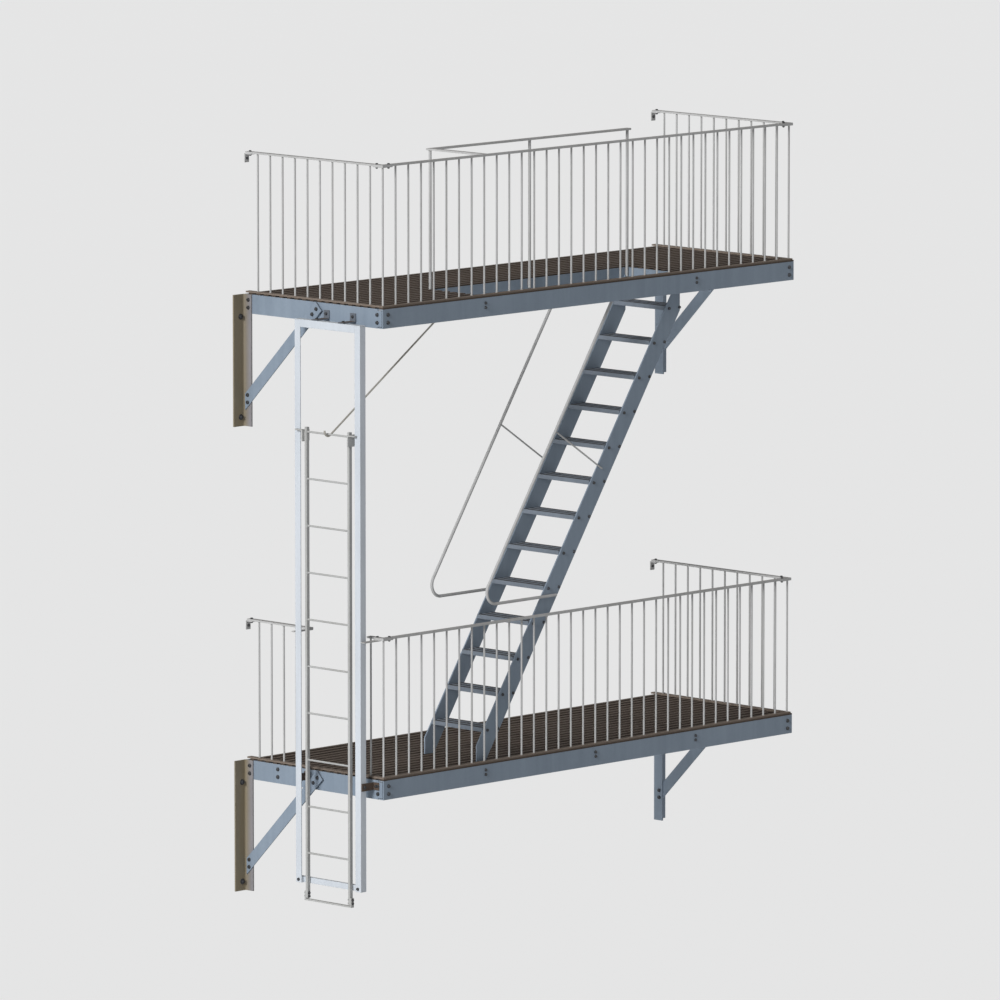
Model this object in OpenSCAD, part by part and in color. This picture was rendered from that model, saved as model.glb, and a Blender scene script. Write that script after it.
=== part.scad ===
// Fire escape stair: two slatted balconies on wall brackets, a stair between them and a drop ladder.
// Millimetres. The wall is the plane Y = 0, the balconies stand out towards -Y and Z is up.
// The origin is the centre of the back face of the lower left wall post.

/* [Balconies] */
// Length of a balcony along the wall
deck_len = 3860; // [2400:10:6000]
// How far a balcony stands out from the wall
deck_wide = 1270; // [900:5:1800]
// Height from the lower balcony to the upper one
storey = 3048; // [2400:1:4000]
// Height of the top rail above the slats
guard_high = 915; // [850:5:1200]

/* [Wall posts] */
// Length of a wall post
post_long = 860; // [600:5:1200]
// Width of the wall leg of a wall post
post_leg = 102; // [70:1:160]
// Width of the leg of a wall post that stands out from the wall
post_out = 76; // [60:1:120]
// Radius in the root of a wall post
post_root = 12; // [6:1:14]
// Thickness of a wall post
post_thick = 9.5; // [6:0.5:16]
// Diameter of an anchor hole
anchor_d = 22; // [12:1:32]
// Side step of the anchor holes from the middle of the wall leg
anchor_side = 10; // [0:1:20]
// Distance of the upper anchor hole below the top of the post
anchor_top = 145; // [100:5:250]
// Distance of the lower anchor hole above the foot of the post
anchor_foot = 60; // [30:5:150]

/* [Braces] */
// Width of a brace
brace_wide = 76; // [40:1:120]
// Thickness of a brace
brace_thick = 8; // [5:0.5:16]
// Distance of the upper brace bolts from the wall
brace_reach = 664; // [400:1:900]
// Distance of the upper brace bolts below the top of the beams
brace_drop = 61; // [50:1:80]
// Distance from the upper brace bolts to the end of the bar
brace_end = 52; // [30:1:80]
// Gap between the foot of a brace and the wall
brace_heel = 24; // [24:1:40]
// Slope of the braces
brace_angle = 45; // [35:1:50]

/* [Beams] */
// Depth of the front channel, the end beams and the rear beam
beam_deep = 125; // [100:1:180]
// Width of a beam flange
beam_flange = 45; // [30:1:60]
// Thickness of a beam
beam_thick = 8; // [5:0.5:12]
// Distance of the rear beam from the wall
rear_beam_off = 274; // [200:1:400]
// Gap left around a notched beam end
cope_gap = 3; // [2:0.5:6]
// Gap between an end beam and the wall
beam_wall_gap = 6; // [3:1:20]
// Depth of a joist
joist_deep = 76; // [50:1:90]
// Width of the top leg of a joist
joist_flange = 51; // [30:1:70]
// Thickness of a joist
joist_thick = 6.5; // [4:0.5:10]
// Width of each leg of a cleat
cleat_leg = 50; // [35:1:70]
// Thickness of a cleat
cleat_thick = 6; // [4:0.5:10]
// Height of a cleat at a joist
cleat_high = 56; // [40:1:65]

/* [Slats] */
// Number of slats in a balcony
slat_count = 18; // [12:1:24]
// Width of a slat
slat_wide = 36; // [25:1:50]
// Thickness of a slat
slat_thick = 9.5; // [6:0.5:14]
// Gap between the last slat and the wall
slat_wall_gap = 44; // [20:1:80]

/* [Guards] */
// Width of a top rail and of a sole bar
rail_wide = 38; // [25:1:60]
// Thickness of a top rail
rail_thick = 12; // [8:0.5:20]
// Thickness of a sole bar
sole_thick = 9.5; // [6:0.5:16]
// Inset of the rails from the edge of the balcony
rail_inset = 6; // [0:1:20]
// Gap between a rail end and the wall
rail_wall_gap = 10; // [8:1:30]
// Diameter of a baluster
baluster_d = 12.7; // [10:0.1:20]
// Number of spaces between balusters along the front
front_spaces = 33; // [20:1:50]
// Number of spaces between balusters along an end
end_spaces = 10; // [6:1:16]
// Distance of the first baluster of an end from the wall
first_baluster = 106; // [60:1:150]
// Number of balusters behind the ladder gap
gap_rear_count = 4; // [2:1:5]
// Thickness of a rail clip and a rail corner plate
clip_thick = 6; // [4:0.5:10]
// Length of a leg of a rail clip
clip_leg = 60; // [40:1:80]
// Diameter of the hole in a rail clip
clip_hole_d = 14; // [8:1:18]
// Length of a leg of a rail corner plate
corner_leg = 90; // [60:1:120]

/* [Stair well] */
// Distance of the head of the stair from the left end of the balcony
well_right = 2834; // [2000:1:3200]
// Distance of the back edge of the well from the wall
well_back = 717; // [600:1:900]
// Thickness of the bars around the well
trim_thick = 9.5; // [6:0.5:12]
// Diameter of a post of the well guard
well_post_d = 19; // [14:1:30]
// How far a well post reaches below the top of the beams
well_post_drop = 60; // [40:1:75]

/* [Stair] */
// Number of treads
tread_count = 13; // [10:1:16]
// Going from one tread to the next
going = 142.4; // [120:0.1:180]
// Depth of a tread
tread_deep = 150; // [120:1:180]
// Height of the bars at the edge of a tread
tread_edge = 28; // [20:1:40]
// Thickness of the parts of a tread
tread_thick = 8; // [5:0.5:10]
// Width of a bar of a tread
tread_bar = 40; // [30:1:44]
// Number of bars in a tread
tread_bars = 3; // [2:1:4]
// Width of a stringer along the level
stringer_level = 154; // [110:1:180]
// Thickness of a stringer
stringer_thick = 9.5; // [6:0.5:14]
// Distance of the nosing in front of the stringer
nosing_out = 14; // [5:1:20]
// Outer face of the front stringer measured from the wall
stair_front = 1200; // [1000:1:1204]
// Gap between the back stringer and the back edge of the well
stair_gap = 0.5; // [0:0.1:3]
// Reach of the stringer foot in front of the first nosing
toe_out = 58; // [40:1:120]
// Diameter of a handrail
hand_d = 20; // [16:1:32]
// Diameter of a handrail support
hand_rod_d = 11; // [8:0.5:16]
// Distance of a handrail in front of the stringer along the level
hand_out = 582; // [450:1:800]
// Radius of the bend at the foot of a handrail
hand_bend = 80; // [40:1:120]
// Lap of a handrail on the face of a stringer
hand_lap = 40; // [20:1:80]
// Length of a handrail's foot along the face of its stringer
hand_foot = 130; // [40:1:140]
// Height of the lower end of a handrail above the slats
hand_return = 1022; // [900:1:1100]
// Height of the upper handrail support above the slats
hand_support = 2100; // [1600:10:2400]
// Drop of the end of the front handrail below the top of the beams
hand_top_drop = 40; // [20:1:60]

/* [Ladder guide] */
// Width of the guide frame
guide_wide = 595; // [450:5:700]
// Distance of the middle of the guide frame from the wall
guide_mid = 884; // [800:1:950]
// Distance from the end beam out to the face of the guide frame
guide_out = 119; // [100:1:180]
// Width of each leg of the guide angles
guide_leg = 50; // [38:1:60]
// Thickness of the guide angles
guide_thick = 6; // [5:0.5:8]
// How far the guide frame stands below the top of the lower beams
guide_foot = 722; // [500:1:900]
// Height of the guide frame top above the foot of the upper beams
guide_top = 22; // [10:1:40]
// Height of the sill of the guide frame
sill_leg = 38; // [30:1:45]
// Thickness of the clips that carry the guide frame
guide_clip_thick = 8; // [5:0.5:10]
// Height and width of those clips
guide_clip = 50; // [40:1:60]
// Gap between the end of an upper brace and the first hanger
hanger_gap = 11.5; // [8:0.5:30]
// Distance from hanger to hanger
hanger_step = 240; // [150:1:300]
// Distance of a standoff below the top of the lower beams
standoff_drop = 15; // [12:1:20]

/* [Drop ladder] */
// Width of the ladder
ladder_wide = 407; // [330:1:440]
// How far the ladder stands in front of the guide frame
ladder_proud = 5; // [0:1:20]
// Depth of a ladder stile
stile_deep = 25; // [20:1:30]
// Thickness of a ladder stile
stile_thick = 18; // [10:0.5:20]
// Diameter of a rung
rung_d = 12.7; // [12.5:0.1:24]
// Distance from rung to rung
rung_step = 304.8; // [250:0.1:330]
// Number of rungs
rung_count = 10; // [8:1:12]
// Distance of the top rung below the top of the upper beams
top_rung_drop = 826; // [700:1:900]
// Height of the ladder stiles above the top rung
stile_over = 30; // [20:1:60]
// Thickness of the stirrup at the foot of the ladder
stirrup_thick = 10; // [6:0.5:12]
// Lap of the stirrup on the stiles
stirrup_lap = 46; // [30:1:100]
// Gap between the stirrup and the lower ends of the stiles
stirrup_gap = 6; // [4:1:60]
// Depth of a ladder guide plate
shoe_deep = 65; // [60:1:70]
// Height of a ladder guide plate
shoe_high = 77; // [60:1:100]
// Thickness of a ladder guide plate
shoe_thick = 9; // [6:0.5:12]
// Depth of the tab that runs in front of the guide frame
shoe_tab = 20; // [12:1:30]
// Lap of the tab on the face of the guide frame
shoe_lap = 24; // [10:1:40]
// Running gap between the ladder guides and the guide frame
run_gap = 5; // [4:0.5:6]

/* [Hook] */
// Diameter of the hook rod
hook_d = 12; // [10:0.5:16]
// Gap between the hook and the rung it holds
hook_gap = 0.3; // [0.1:0.1:1]
// Radius of the hook bend
hook_r = 32; // [26:1:40]
// Length of the straight tip of the hook
hook_tip = 6; // [2:1:7]
// Diameter of the hook pin
pin_d = 12; // [10:0.5:16]
// Running gap between the pin and the eye
pin_gap = 0.5; // [0.3:0.1:1]
// Outside diameter of the eye
eye_d = 34; // [30:1:44]
// Length of the eye along the pin
eye_long = 16; // [12:1:24]
// Thickness of a hook lug
lug_thick = 6; // [5:0.5:10]
// Gap between the eye and a lug
lug_gap = 2; // [1:0.5:4]
// Drop of the pin below the joist
pin_drop = 36; // [30:1:60]

/* [Hidden] */
// Smoothness of round parts
$fn = 32;
// Overlap that fuses the members of one piece
bite = 1;
// Height and length of a weld ring on a bent bar, and half the gap that it fills
weld_high = 0.6;
weld_long = 5;
weld_gap = 1;
// Shares of the length at which the joists stand
joist_shares = [0.25, 0.5, 0.75];
half_share = 0.5;
right_angle = 90;
half_turn = 180;

x_left = post_leg * half_share;
x_right = x_left + deck_len;
z_low = post_long * half_share;
z_high = z_low + storey;
y_front = -deck_wide;
y_web = y_front + beam_thick;
y_lip = y_front + beam_flange;
beam_inside = beam_deep - 2 * beam_thick;
brace_half = brace_wide * half_share;
x_brace = x_left - post_thick - brace_thick;
y_brace_tip = -brace_reach - brace_end * cos(brace_angle) - brace_half * sin(brace_angle);

slat_pitch = (deck_wide - slat_wall_gap - slat_wide) / (slat_count - 1);
rail_mid = rail_inset + rail_wide * half_share;
rail_top = slat_thick + guard_high;
rail_foot = rail_top - rail_thick;
sole_top = slat_thick + sole_thick;
end_pitch = (deck_wide - rail_mid - first_baluster) / end_spaces;
front_pitch = (deck_len - 2 * rail_mid) / front_spaces;
end_rail_stop = -deck_wide + rail_inset + rail_wide;

x_well = x_left + deck_len * joist_shares[0];
joist_ways = [-1, 1, 1];
x_head = x_left + well_right;
y_well = -well_back;
y_well_guard = y_well - well_post_d * half_share;
x_back_head = x_head - well_post_d - cope_gap;

rise = storey / (tread_count + 1);
stair_slope = rise / going;
stair_angle = atan(stair_slope);
x_first = x_head - going * tread_count;
x_edge = x_first + nosing_out;
x_toe = x_first - toe_out;
y_stair_front = -stair_front;
y_stair_back = y_well - stair_gap;
y_tread_front = y_stair_front + stringer_thick;
y_tread_back = y_stair_back - stringer_thick;
z_stair = z_low + slat_thick;

x_guide = x_left - guide_out;
x_guide_rear = x_guide + guide_leg;
y_guide_left = -guide_mid + guide_wide * half_share;
y_guide_right = -guide_mid - guide_wide * half_share;
z_guide_top = z_high - beam_deep + guide_top;
z_guide_foot = z_low - guide_foot;
z_sill_top = z_guide_foot + sill_leg;

x_ladder = x_guide - ladder_proud;
x_tab = x_guide - run_gap;
x_shoe = x_tab - shoe_tab;
x_rung = x_ladder + stile_deep * half_share;
y_ladder_left = -guide_mid + ladder_wide * half_share;
y_ladder_right = -guide_mid - ladder_wide * half_share;
z_rung = z_high - top_rung_drop;
z_stile_top = z_rung + stile_over;
z_stirrup = z_rung - rung_step * rung_count;
z_stile_foot = z_stirrup + stirrup_thick * half_share + stirrup_gap;
shoe_reach = y_guide_left - guide_leg + shoe_lap - y_ladder_left;

z_hook = z_rung - (hook_d + rung_d) * half_share - hook_gap + hook_r;
joist_x = [for (s = joist_shares) x_left + deck_len * s];
x_pin = joist_x[0] - joist_thick * half_share;
z_pin = z_high - joist_deep - pin_drop;
hook_dx = x_rung - x_pin;
hook_dz = z_hook - z_pin;
hook_far = sqrt(hook_dx * hook_dx + hook_dz * hook_dz);
hook_aim = atan2(hook_dz, hook_dx) + asin(hook_r / hook_far);
hook_run = sqrt(hook_far * hook_far - hook_r * hook_r);
hook_bend = hook_aim + right_angle + half_turn;

// A block between two opposite corners.
module block(a, b) {
  translate([min(a[0], b[0]), min(a[1], b[1]), min(a[2], b[2])])
    cube([abs(b[0] - a[0]), abs(b[1] - a[1]), abs(b[2] - a[2])]);
}

// A round bar from one point to another.
module bar(a, b, d) {
  v = b - a;
  translate(a)
    rotate([0, acos(v[2] / norm(v)), atan2(v[1], v[0])])
      cylinder(d = d, h = norm(v));
}

// A weld ring where a straight length of bar meets a bend, square to the given direction.
module weld_ring(p, way, d) {
  half = way / norm(way) * weld_long * half_share;
  bar(p - half, p + half, d + 2 * weld_high);
}

// The angle that the gap under a weld ring takes from a bend.
function weld_turn(r) = atan(weld_gap / r);

// Copies a left-hand piece to the right end as its mirror image.
module at_right() {
  translate([x_left + x_right, 0, 0])
    mirror([1, 0, 0])
      children();
}

// Wall posts: unequal angles with a rounded root.
module post_fillet(z_foot, z) {
  x_mid = x_left - post_thick - post_root;
  y_mid = -post_thick - post_root;
  difference() {
    block([x_mid, y_mid, z_foot], [x_left - post_thick + bite, -post_thick + bite, z]);
    translate([x_mid, y_mid, z_foot - bite])
      cylinder(r = post_root, h = post_long + 2 * bite);
  }
}

module wall_post(z) {
  z_foot = z - post_long;
  difference() {
    union() {
      block([x_left - post_leg, -post_thick, z_foot], [x_left, 0, z]);
      block([x_left - post_thick, -post_out, z_foot], [x_left, 0, z]);
      post_fillet(z_foot, z);
    }
    for (h = [z - anchor_top, z_foot + anchor_foot])
      translate([anchor_side, bite, h])
        rotate([right_angle, 0, 0])
          cylinder(d = anchor_d, h = post_thick + 2 * bite);
  }
}

module lower_left_post() {
  color("lightsteelblue") wall_post(z_low);
}

module lower_right_post() {
  color("lightsteelblue") at_right() wall_post(z_low);
}

module upper_left_post() {
  color("lightsteelblue") wall_post(z_high);
}

module upper_right_post() {
  color("lightsteelblue") at_right() wall_post(z_high);
}

// Braces with a packing pad against the end beam.
module brace_plate(z, x, thick, grow) {
  half = brace_half + grow;
  y_cut = grow - brace_heel;
  z_mid = z - brace_drop - (brace_reach + y_cut) * tan(brace_angle);
  z_half = half / cos(brace_angle);
  y_up = -brace_reach - (brace_end + grow) * cos(brace_angle);
  z_up = z - brace_drop + (brace_end + grow) * sin(brace_angle);
  dy = half * sin(brace_angle);
  dz = half * cos(brace_angle);
  translate([x, 0, 0])
    rotate([right_angle, 0, right_angle])
      linear_extrude(thick)
        polygon([
          [y_cut, z_mid - z_half],
          [y_cut, z_mid + z_half],
          [y_up + dy, z_up + dz],
          [y_up - dy, z_up - dz]
        ]);
}

module brace(z) {
  union() {
    brace_plate(z, x_brace, brace_thick, 0);
    translate([x_left - post_thick - bite, -brace_reach, z - brace_drop])
      rotate([-brace_angle, 0, 0])
        translate([0, -brace_half * half_share, -brace_half])
          cube([post_thick + bite, brace_wide * half_share, brace_wide]);
  }
}

module lower_braces() {
  color("lightsteelblue") {
    brace(z_low);
    at_right() brace(z_low);
  }
}

module upper_braces() {
  color("lightsteelblue") {
    brace(z_high);
    at_right() brace(z_high);
  }
}

// Front channels with the flanges towards the wall.
module front_channel(z) {
  z_foot = z - beam_deep;
  union() {
    block([x_left, y_front, z_foot], [x_right, y_web, z]);
    block([x_left, y_front, z_foot], [x_right, y_lip, z_foot + beam_thick]);
    block([x_left, y_front, z - beam_thick], [x_right, y_lip, z]);
  }
}

module lower_front_channel() {
  color("slategray") front_channel(z_low);
}

module upper_front_channel() {
  color("slategray") front_channel(z_high);
}

// End beams, notched to fit inside the front channel.
module end_beam(z) {
  z_foot = z - beam_deep;
  y_rear = -beam_wall_gap;
  y_notch = y_lip + cope_gap;
  x_web = x_left + beam_thick;
  union() {
    block([x_left, y_notch, z_foot], [x_web, y_rear, z]);
    block([x_left, y_notch, z_foot], [x_left + beam_flange, y_rear, z_foot + beam_thick]);
    block([x_left, y_notch, z - beam_thick], [x_left + beam_flange, y_rear, z]);
    block(
      [x_left, y_web + cope_gap, z_foot + beam_thick + cope_gap],
      [x_web, y_notch + bite, z - beam_thick - cope_gap]
    );
  }
}

module lower_end_beams() {
  color("lightsteelblue") {
    end_beam(z_low);
    at_right() end_beam(z_low);
  }
}

module upper_end_beams() {
  color("lightsteelblue") {
    end_beam(z_high);
    at_right() end_beam(z_high);
  }
}

// Rear beams between the end beams, notched at both ends.
module rear_beam(z) {
  z_foot = z - beam_deep;
  y_face = -rear_beam_off;
  y_back = y_face + beam_thick;
  x_a = x_left + beam_flange + cope_gap;
  x_b = x_right - beam_flange - cope_gap;
  union() {
    block([x_a, y_face, z_foot], [x_b, y_back, z]);
    block([x_a, y_face, z_foot], [x_b, y_face + beam_flange, z_foot + beam_thick]);
    block([x_a, y_face, z - beam_thick], [x_b, y_face + beam_flange, z]);
    block(
      [x_left + beam_thick, y_face, z_foot + beam_thick + cope_gap],
      [x_right - beam_thick, y_back, z - beam_thick - cope_gap]
    );
  }
}

module lower_rear_beam() {
  color("slategray") rear_beam(z_low);
}

module upper_rear_beam() {
  color("slategray") rear_beam(z_high);
}

// Joists: angles with the top leg level with the beams, notched at the front channel.
module joist(i, z, y_stop) {
  x = joist_x[i];
  way = joist_ways[i];
  z_foot = z - joist_deep;
  y_rear = -rear_beam_off;
  y_top = y_stop == y_web ? y_lip + cope_gap : y_stop;
  union() {
    block([x, y_top, z_foot], [x + way * joist_thick, y_rear, z]);
    block([x, y_top, z - joist_thick], [x + way * joist_flange, y_rear, z]);
    block([x, y_stop, z_foot], [x + way * joist_thick, y_rear, z - beam_thick - cope_gap]);
  }
}

module lower_joists() {
  color("slategray")
    for (i = [0 : len(joist_x) - 1])
      joist(i, z_low, y_web);
}

module upper_joists() {
  color("slategray") {
    joist(0, z_high, y_web);
    joist(1, z_high, y_well + trim_thick);
    joist(2, z_high, y_web);
  }
}

// Cleats at the front corners, the rear beam and the joists.
module cleat(x, y, z_foot, high, x_way, y_way) {
  union() {
    block([x, y, z_foot], [x + x_way * cleat_thick, y + y_way * cleat_leg, z_foot + high]);
    block([x, y, z_foot], [x + x_way * cleat_leg, y + y_way * cleat_thick, z_foot + high]);
  }
}

module corner_cleats(z) {
  high = beam_inside - 2 * cope_gap;
  z_foot = z - beam_thick - cope_gap - high;
  cleat(x_left + beam_thick, y_web, z_foot, high, 1, 1);
  cleat(x_left + beam_thick, -rear_beam_off, z_foot, high, 1, -1);
}

module joist_cleats(i, z, front) {
  z_foot = z - beam_thick - cope_gap - cleat_high;
  way = joist_ways[i];
  x_face = joist_x[i] + way * joist_thick;
  if (front)
    cleat(x_face, y_web, z_foot, cleat_high, way, 1);
  cleat(x_face, -rear_beam_off, z_foot, cleat_high, way, -1);
}

module lower_cleats() {
  color("slategray") {
    corner_cleats(z_low);
    at_right() corner_cleats(z_low);
    for (i = [0 : len(joist_x) - 1])
      joist_cleats(i, z_low, true);
  }
}

module upper_cleats() {
  color("slategray") {
    corner_cleats(z_high);
    at_right() corner_cleats(z_high);
    joist_cleats(0, z_high, true);
    joist_cleats(1, z_high, false);
    joist_cleats(2, z_high, true);
  }
}

// Slats along the balconies.
function slat_y(i) = y_front + slat_pitch * i;
function in_well(i) = slat_y(i) > y_lip && slat_y(i) < y_well;

module slat(i, x_a, x_b, z) {
  block([x_a, slat_y(i), z], [x_b, slat_y(i) + slat_wide, z + slat_thick]);
}

module lower_slats() {
  color("rosybrown")
    for (i = [0 : slat_count - 1])
      slat(i, x_left, x_right, z_low);
}

module upper_slats() {
  color("rosybrown")
    for (i = [0 : slat_count - 1])
      if (in_well(i)) {
        slat(i, x_left, x_well, z_high);
        slat(i, x_head, x_right, z_high);
      } else {
        slat(i, x_left, x_right, z_high);
      }
}

// Guard panels: a sole bar on the slats, round balusters and a flat top rail.
module baluster(x, y, z) {
  translate([x, y, z + sole_top - bite])
    cylinder(d = baluster_d, h = rail_foot - sole_top + 2 * bite);
}

module front_guard(z) {
  y_a = y_front + rail_inset;
  union() {
    block([x_left + rail_inset, y_a, z + slat_thick], [x_right - rail_inset, y_a + rail_wide, z + sole_top]);
    block([x_left + rail_inset, y_a, z + rail_foot], [x_right - rail_inset, y_a + rail_wide, z + rail_top]);
    for (i = [0 : front_spaces])
      baluster(x_left + rail_mid + front_pitch * i, y_front + rail_mid, z);
  }
}

module end_sole(z) {
  x_a = x_left + rail_inset;
  block([x_a, end_rail_stop, z + slat_thick], [x_a + rail_wide, -rail_wall_gap, z + sole_top]);
}

module end_balusters(z, first, last, foot) {
  for (i = [first : last])
    translate([x_left + rail_mid, -first_baluster - end_pitch * i, z + foot])
      cylinder(d = baluster_d, h = rail_foot - foot + bite);
}

module end_rail(z, y_a, y_b) {
  x_a = x_left + rail_inset;
  block([x_a, y_a, z + rail_foot], [x_a + rail_wide, y_b, z + rail_top]);
}

module end_guard(z) {
  union() {
    end_sole(z);
    end_rail(z, end_rail_stop, -rail_wall_gap);
    end_balusters(z, 0, end_spaces - 1, sole_top - bite);
  }
}

module lower_front_guard() {
  color("silver") front_guard(z_low);
}

module upper_front_guard() {
  color("silver") front_guard(z_high);
}

module upper_left_guard() {
  color("silver") end_guard(z_high);
}

module upper_right_guard() {
  color("silver") at_right() end_guard(z_high);
}

module lower_right_guard() {
  color("silver") at_right() end_guard(z_low);
}

// The lower left guard is open for the ladder, and only its sole bar runs through.
module lower_left_sole() {
  color("silver") end_sole(z_low);
}

module lower_left_guard_rear() {
  color("silver")
    union() {
      end_rail(z_low, y_guide_left, -rail_wall_gap);
      end_balusters(z_low, 0, gap_rear_count - 1, sole_top);
    }
}

module lower_left_guard_front() {
  last = end_spaces - 1;
  y_gap = -first_baluster - end_pitch * last + rail_wide * half_share;
  color("silver")
    union() {
      end_rail(z_low, end_rail_stop, y_gap);
      end_balusters(z_low, last, last, sole_top);
    }
}

// Corner plates under the top rails and clips that hold the rails to the wall.
module rail_fittings(z) {
  x_a = x_left + rail_inset;
  y_a = y_front + rail_inset;
  z_top = z + rail_foot;
  difference() {
    union() {
      block([x_a, y_a, z_top - clip_thick], [x_a + corner_leg, y_a + rail_wide, z_top]);
      block([x_a, y_a, z_top - clip_thick], [x_a + rail_wide, y_a + corner_leg, z_top]);
    }
    translate([x_left + rail_mid, y_front + rail_mid, z_top - clip_thick - bite])
      cylinder(d = baluster_d + 2 * bite, h = clip_thick + 2 * bite);
  }
  difference() {
    union() {
      block([x_a, -clip_leg, z_top - clip_thick], [x_a + rail_wide, 0, z_top]);
      block([x_a, -clip_thick, z_top - clip_leg], [x_a + rail_wide, 0, z_top]);
    }
    translate([x_left + rail_mid, bite, z_top - (clip_leg + clip_thick) * half_share])
      rotate([right_angle, 0, 0])
        cylinder(d = clip_hole_d, h = clip_thick + 2 * bite);
  }
}

module lower_rail_fittings() {
  color("silver") {
    rail_fittings(z_low);
    at_right() rail_fittings(z_low);
  }
}

module upper_rail_fittings() {
  color("silver") {
    rail_fittings(z_high);
    at_right() rail_fittings(z_high);
  }
}

// Bars around the stair well and the guard behind it.
module well_back_trimmer() {
  color("slategray")
    block([x_well, y_well, z_high - joist_deep], [joist_x[2], y_well + trim_thick, z_high]);
}

module well_end_trimmer() {
  z_foot = z_high - joist_deep;
  x_b = x_head + trim_thick;
  color("slategray")
    union() {
      block([x_head, y_lip + cope_gap, z_foot], [x_b, y_well, z_high]);
      block([x_head, y_web, z_foot], [x_b, y_well, z_high - beam_thick - cope_gap]);
    }
}

module well_guard() {
  z_a = z_high + rail_foot;
  z_b = z_high + rail_top;
  half = rail_wide * half_share;
  post_r = well_post_d * half_share;
  x_a = x_well + cope_gap + post_r;
  x_c = x_head - post_r;
  x_b = (x_a + x_c) * half_share;
  color("silver")
    union() {
      block([x_a - half, y_well_guard - half, z_a], [x_c + half, y_well_guard + half, z_b]);
      block([x_a - half, end_rail_stop, z_a], [x_a + half, y_well_guard, z_b]);
      for (x = [x_a, x_b, x_c])
        translate([x, y_well_guard, z_high - well_post_drop])
          cylinder(d = well_post_d, h = well_post_drop + rail_foot + bite);
    }
}

// Stair stringers and treads.
function edge_x(z) = x_edge + (z - z_stair - rise) / stair_slope;
function edge_z(x) = z_stair + rise + (x - x_edge) * stair_slope;

module stringer(y, x_end) {
  translate([0, y + stringer_thick, 0])
    rotate([right_angle, 0, 0])
      linear_extrude(stringer_thick)
        polygon([
          [x_toe, z_stair],
          [x_toe, edge_z(x_toe)],
          [x_end, edge_z(x_end)],
          [x_end, edge_z(x_end - stringer_level)],
          [edge_x(z_stair) + stringer_level, z_stair]
        ]);
}

module stair_front_stringer() {
  color("slategray") stringer(y_stair_front, x_head);
}

module stair_back_stringer() {
  color("slategray") stringer(y_tread_back, x_back_head);
}

module tread(i) {
  x_a = x_first + going * (i - 1);
  z_top = z_stair + rise * i;
  z_mid = z_top - tread_thick;
  z_foot = z_top - tread_edge;
  bar_pitch = (tread_deep - tread_bar) / (tread_bars - 1);
  union() {
    for (j = [0 : tread_bars - 1])
      block([x_a + bar_pitch * j, y_tread_front, z_mid], [x_a + bar_pitch * j + tread_bar, y_tread_back, z_top]);
    block([x_a, y_tread_front, z_foot], [x_a + tread_thick, y_tread_back, z_top]);
    block([x_a, y_tread_front, z_foot], [x_a + tread_deep, y_tread_front + tread_thick, z_mid + bite]);
    block([x_a, y_tread_back - tread_thick, z_foot], [x_a + tread_deep, y_tread_back, z_mid + bite]);
  }
}

module stair_treads() {
  color("rosybrown")
    for (i = [1 : tread_count])
      tread(i);
}

// Handrails with a return to the stringer and a support rod, on the outer faces of the stringers.
module handrail(y_face, way, z_end) {
  y = y_face + way * hand_d * half_share;
  y_rod = y_face + way * (hand_rod_d * half_share + weld_high);
  z_ret = z_stair + hand_return;
  z_mid = z_ret + hand_bend;
  z_bend = z_mid + hand_bend * cos(stair_angle);
  x_bend = edge_x(z_bend) - hand_out;
  x_mid = x_bend + hand_bend * sin(stair_angle);
  z_sup = z_stair + hand_support;
  x_sup = edge_x(z_sup) - hand_out;
  far = hand_out * sin(stair_angle) + hand_lap;
  climb = [cos(stair_angle), 0, sin(stair_angle)];
  turn = weld_turn(hand_bend);
  union() {
    bar([edge_x(z_end) - hand_out, y, z_end], [x_bend, y, z_bend] + climb * weld_gap, hand_d);
    translate([x_mid, y, z_mid])
      rotate([right_angle, 0, 0])
        rotate([0, 0, right_angle + stair_angle + turn])
          rotate_extrude(angle = half_turn - stair_angle - 2 * turn)
            translate([hand_bend, 0])
              circle(d = hand_d);
    bar([x_mid + weld_gap, y, z_ret], [edge_x(z_ret) + hand_foot, y, z_ret], hand_d);
    weld_ring([x_bend, y, z_bend], climb, hand_d);
    weld_ring([x_mid, y, z_ret], [1, 0, 0], hand_d);
    bar(
      [x_sup, y_rod, z_sup],
      [x_sup + far * sin(stair_angle), y_rod, z_sup - far * cos(stair_angle)],
      hand_rod_d
    );
  }
}

module stair_front_handrail() {
  z_end = z_high - hand_top_drop;
  z_stub = z_end - hand_d;
  y = y_stair_front - hand_d * half_share;
  x_stub = edge_x(z_stub) - hand_out;
  color("silver")
    union() {
      handrail(y_stair_front, -1, z_end);
      bar([x_stub, y, z_stub], [x_stub, y_web, z_stub], hand_rod_d);
    }
}

module stair_back_handrail() {
  color("silver")
    difference() {
      handrail(y_stair_back, 1, z_high - hand_top_drop);
      block(
        [x_well, y_well - beam_deep, z_high - joist_deep],
        [x_head, y_well + beam_deep, z_high]
      );
    }
}

// Guide frame of the drop ladder.
module guide_stile(y_out, way) {
  z_top = z_guide_top - guide_thick;
  union() {
    block([x_guide, y_out, z_guide_foot], [x_guide + guide_thick, y_out + way * guide_leg, z_top]);
    block([x_guide, y_out, z_guide_foot], [x_guide_rear, y_out + way * guide_thick, z_top]);
  }
}

module guide_left_stile() {
  color("white") guide_stile(y_guide_left, -1);
}

module guide_right_stile() {
  color("white") guide_stile(y_guide_right, 1);
}

module guide_head() {
  color("white")
    union() {
      block([x_guide, y_guide_right, z_guide_top - guide_thick], [x_guide_rear, y_guide_left, z_guide_top]);
      block(
        [x_guide, y_guide_right + guide_leg, z_guide_top - guide_leg],
        [x_guide + guide_thick, y_guide_left - guide_leg, z_guide_top]
      );
    }
}

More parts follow.
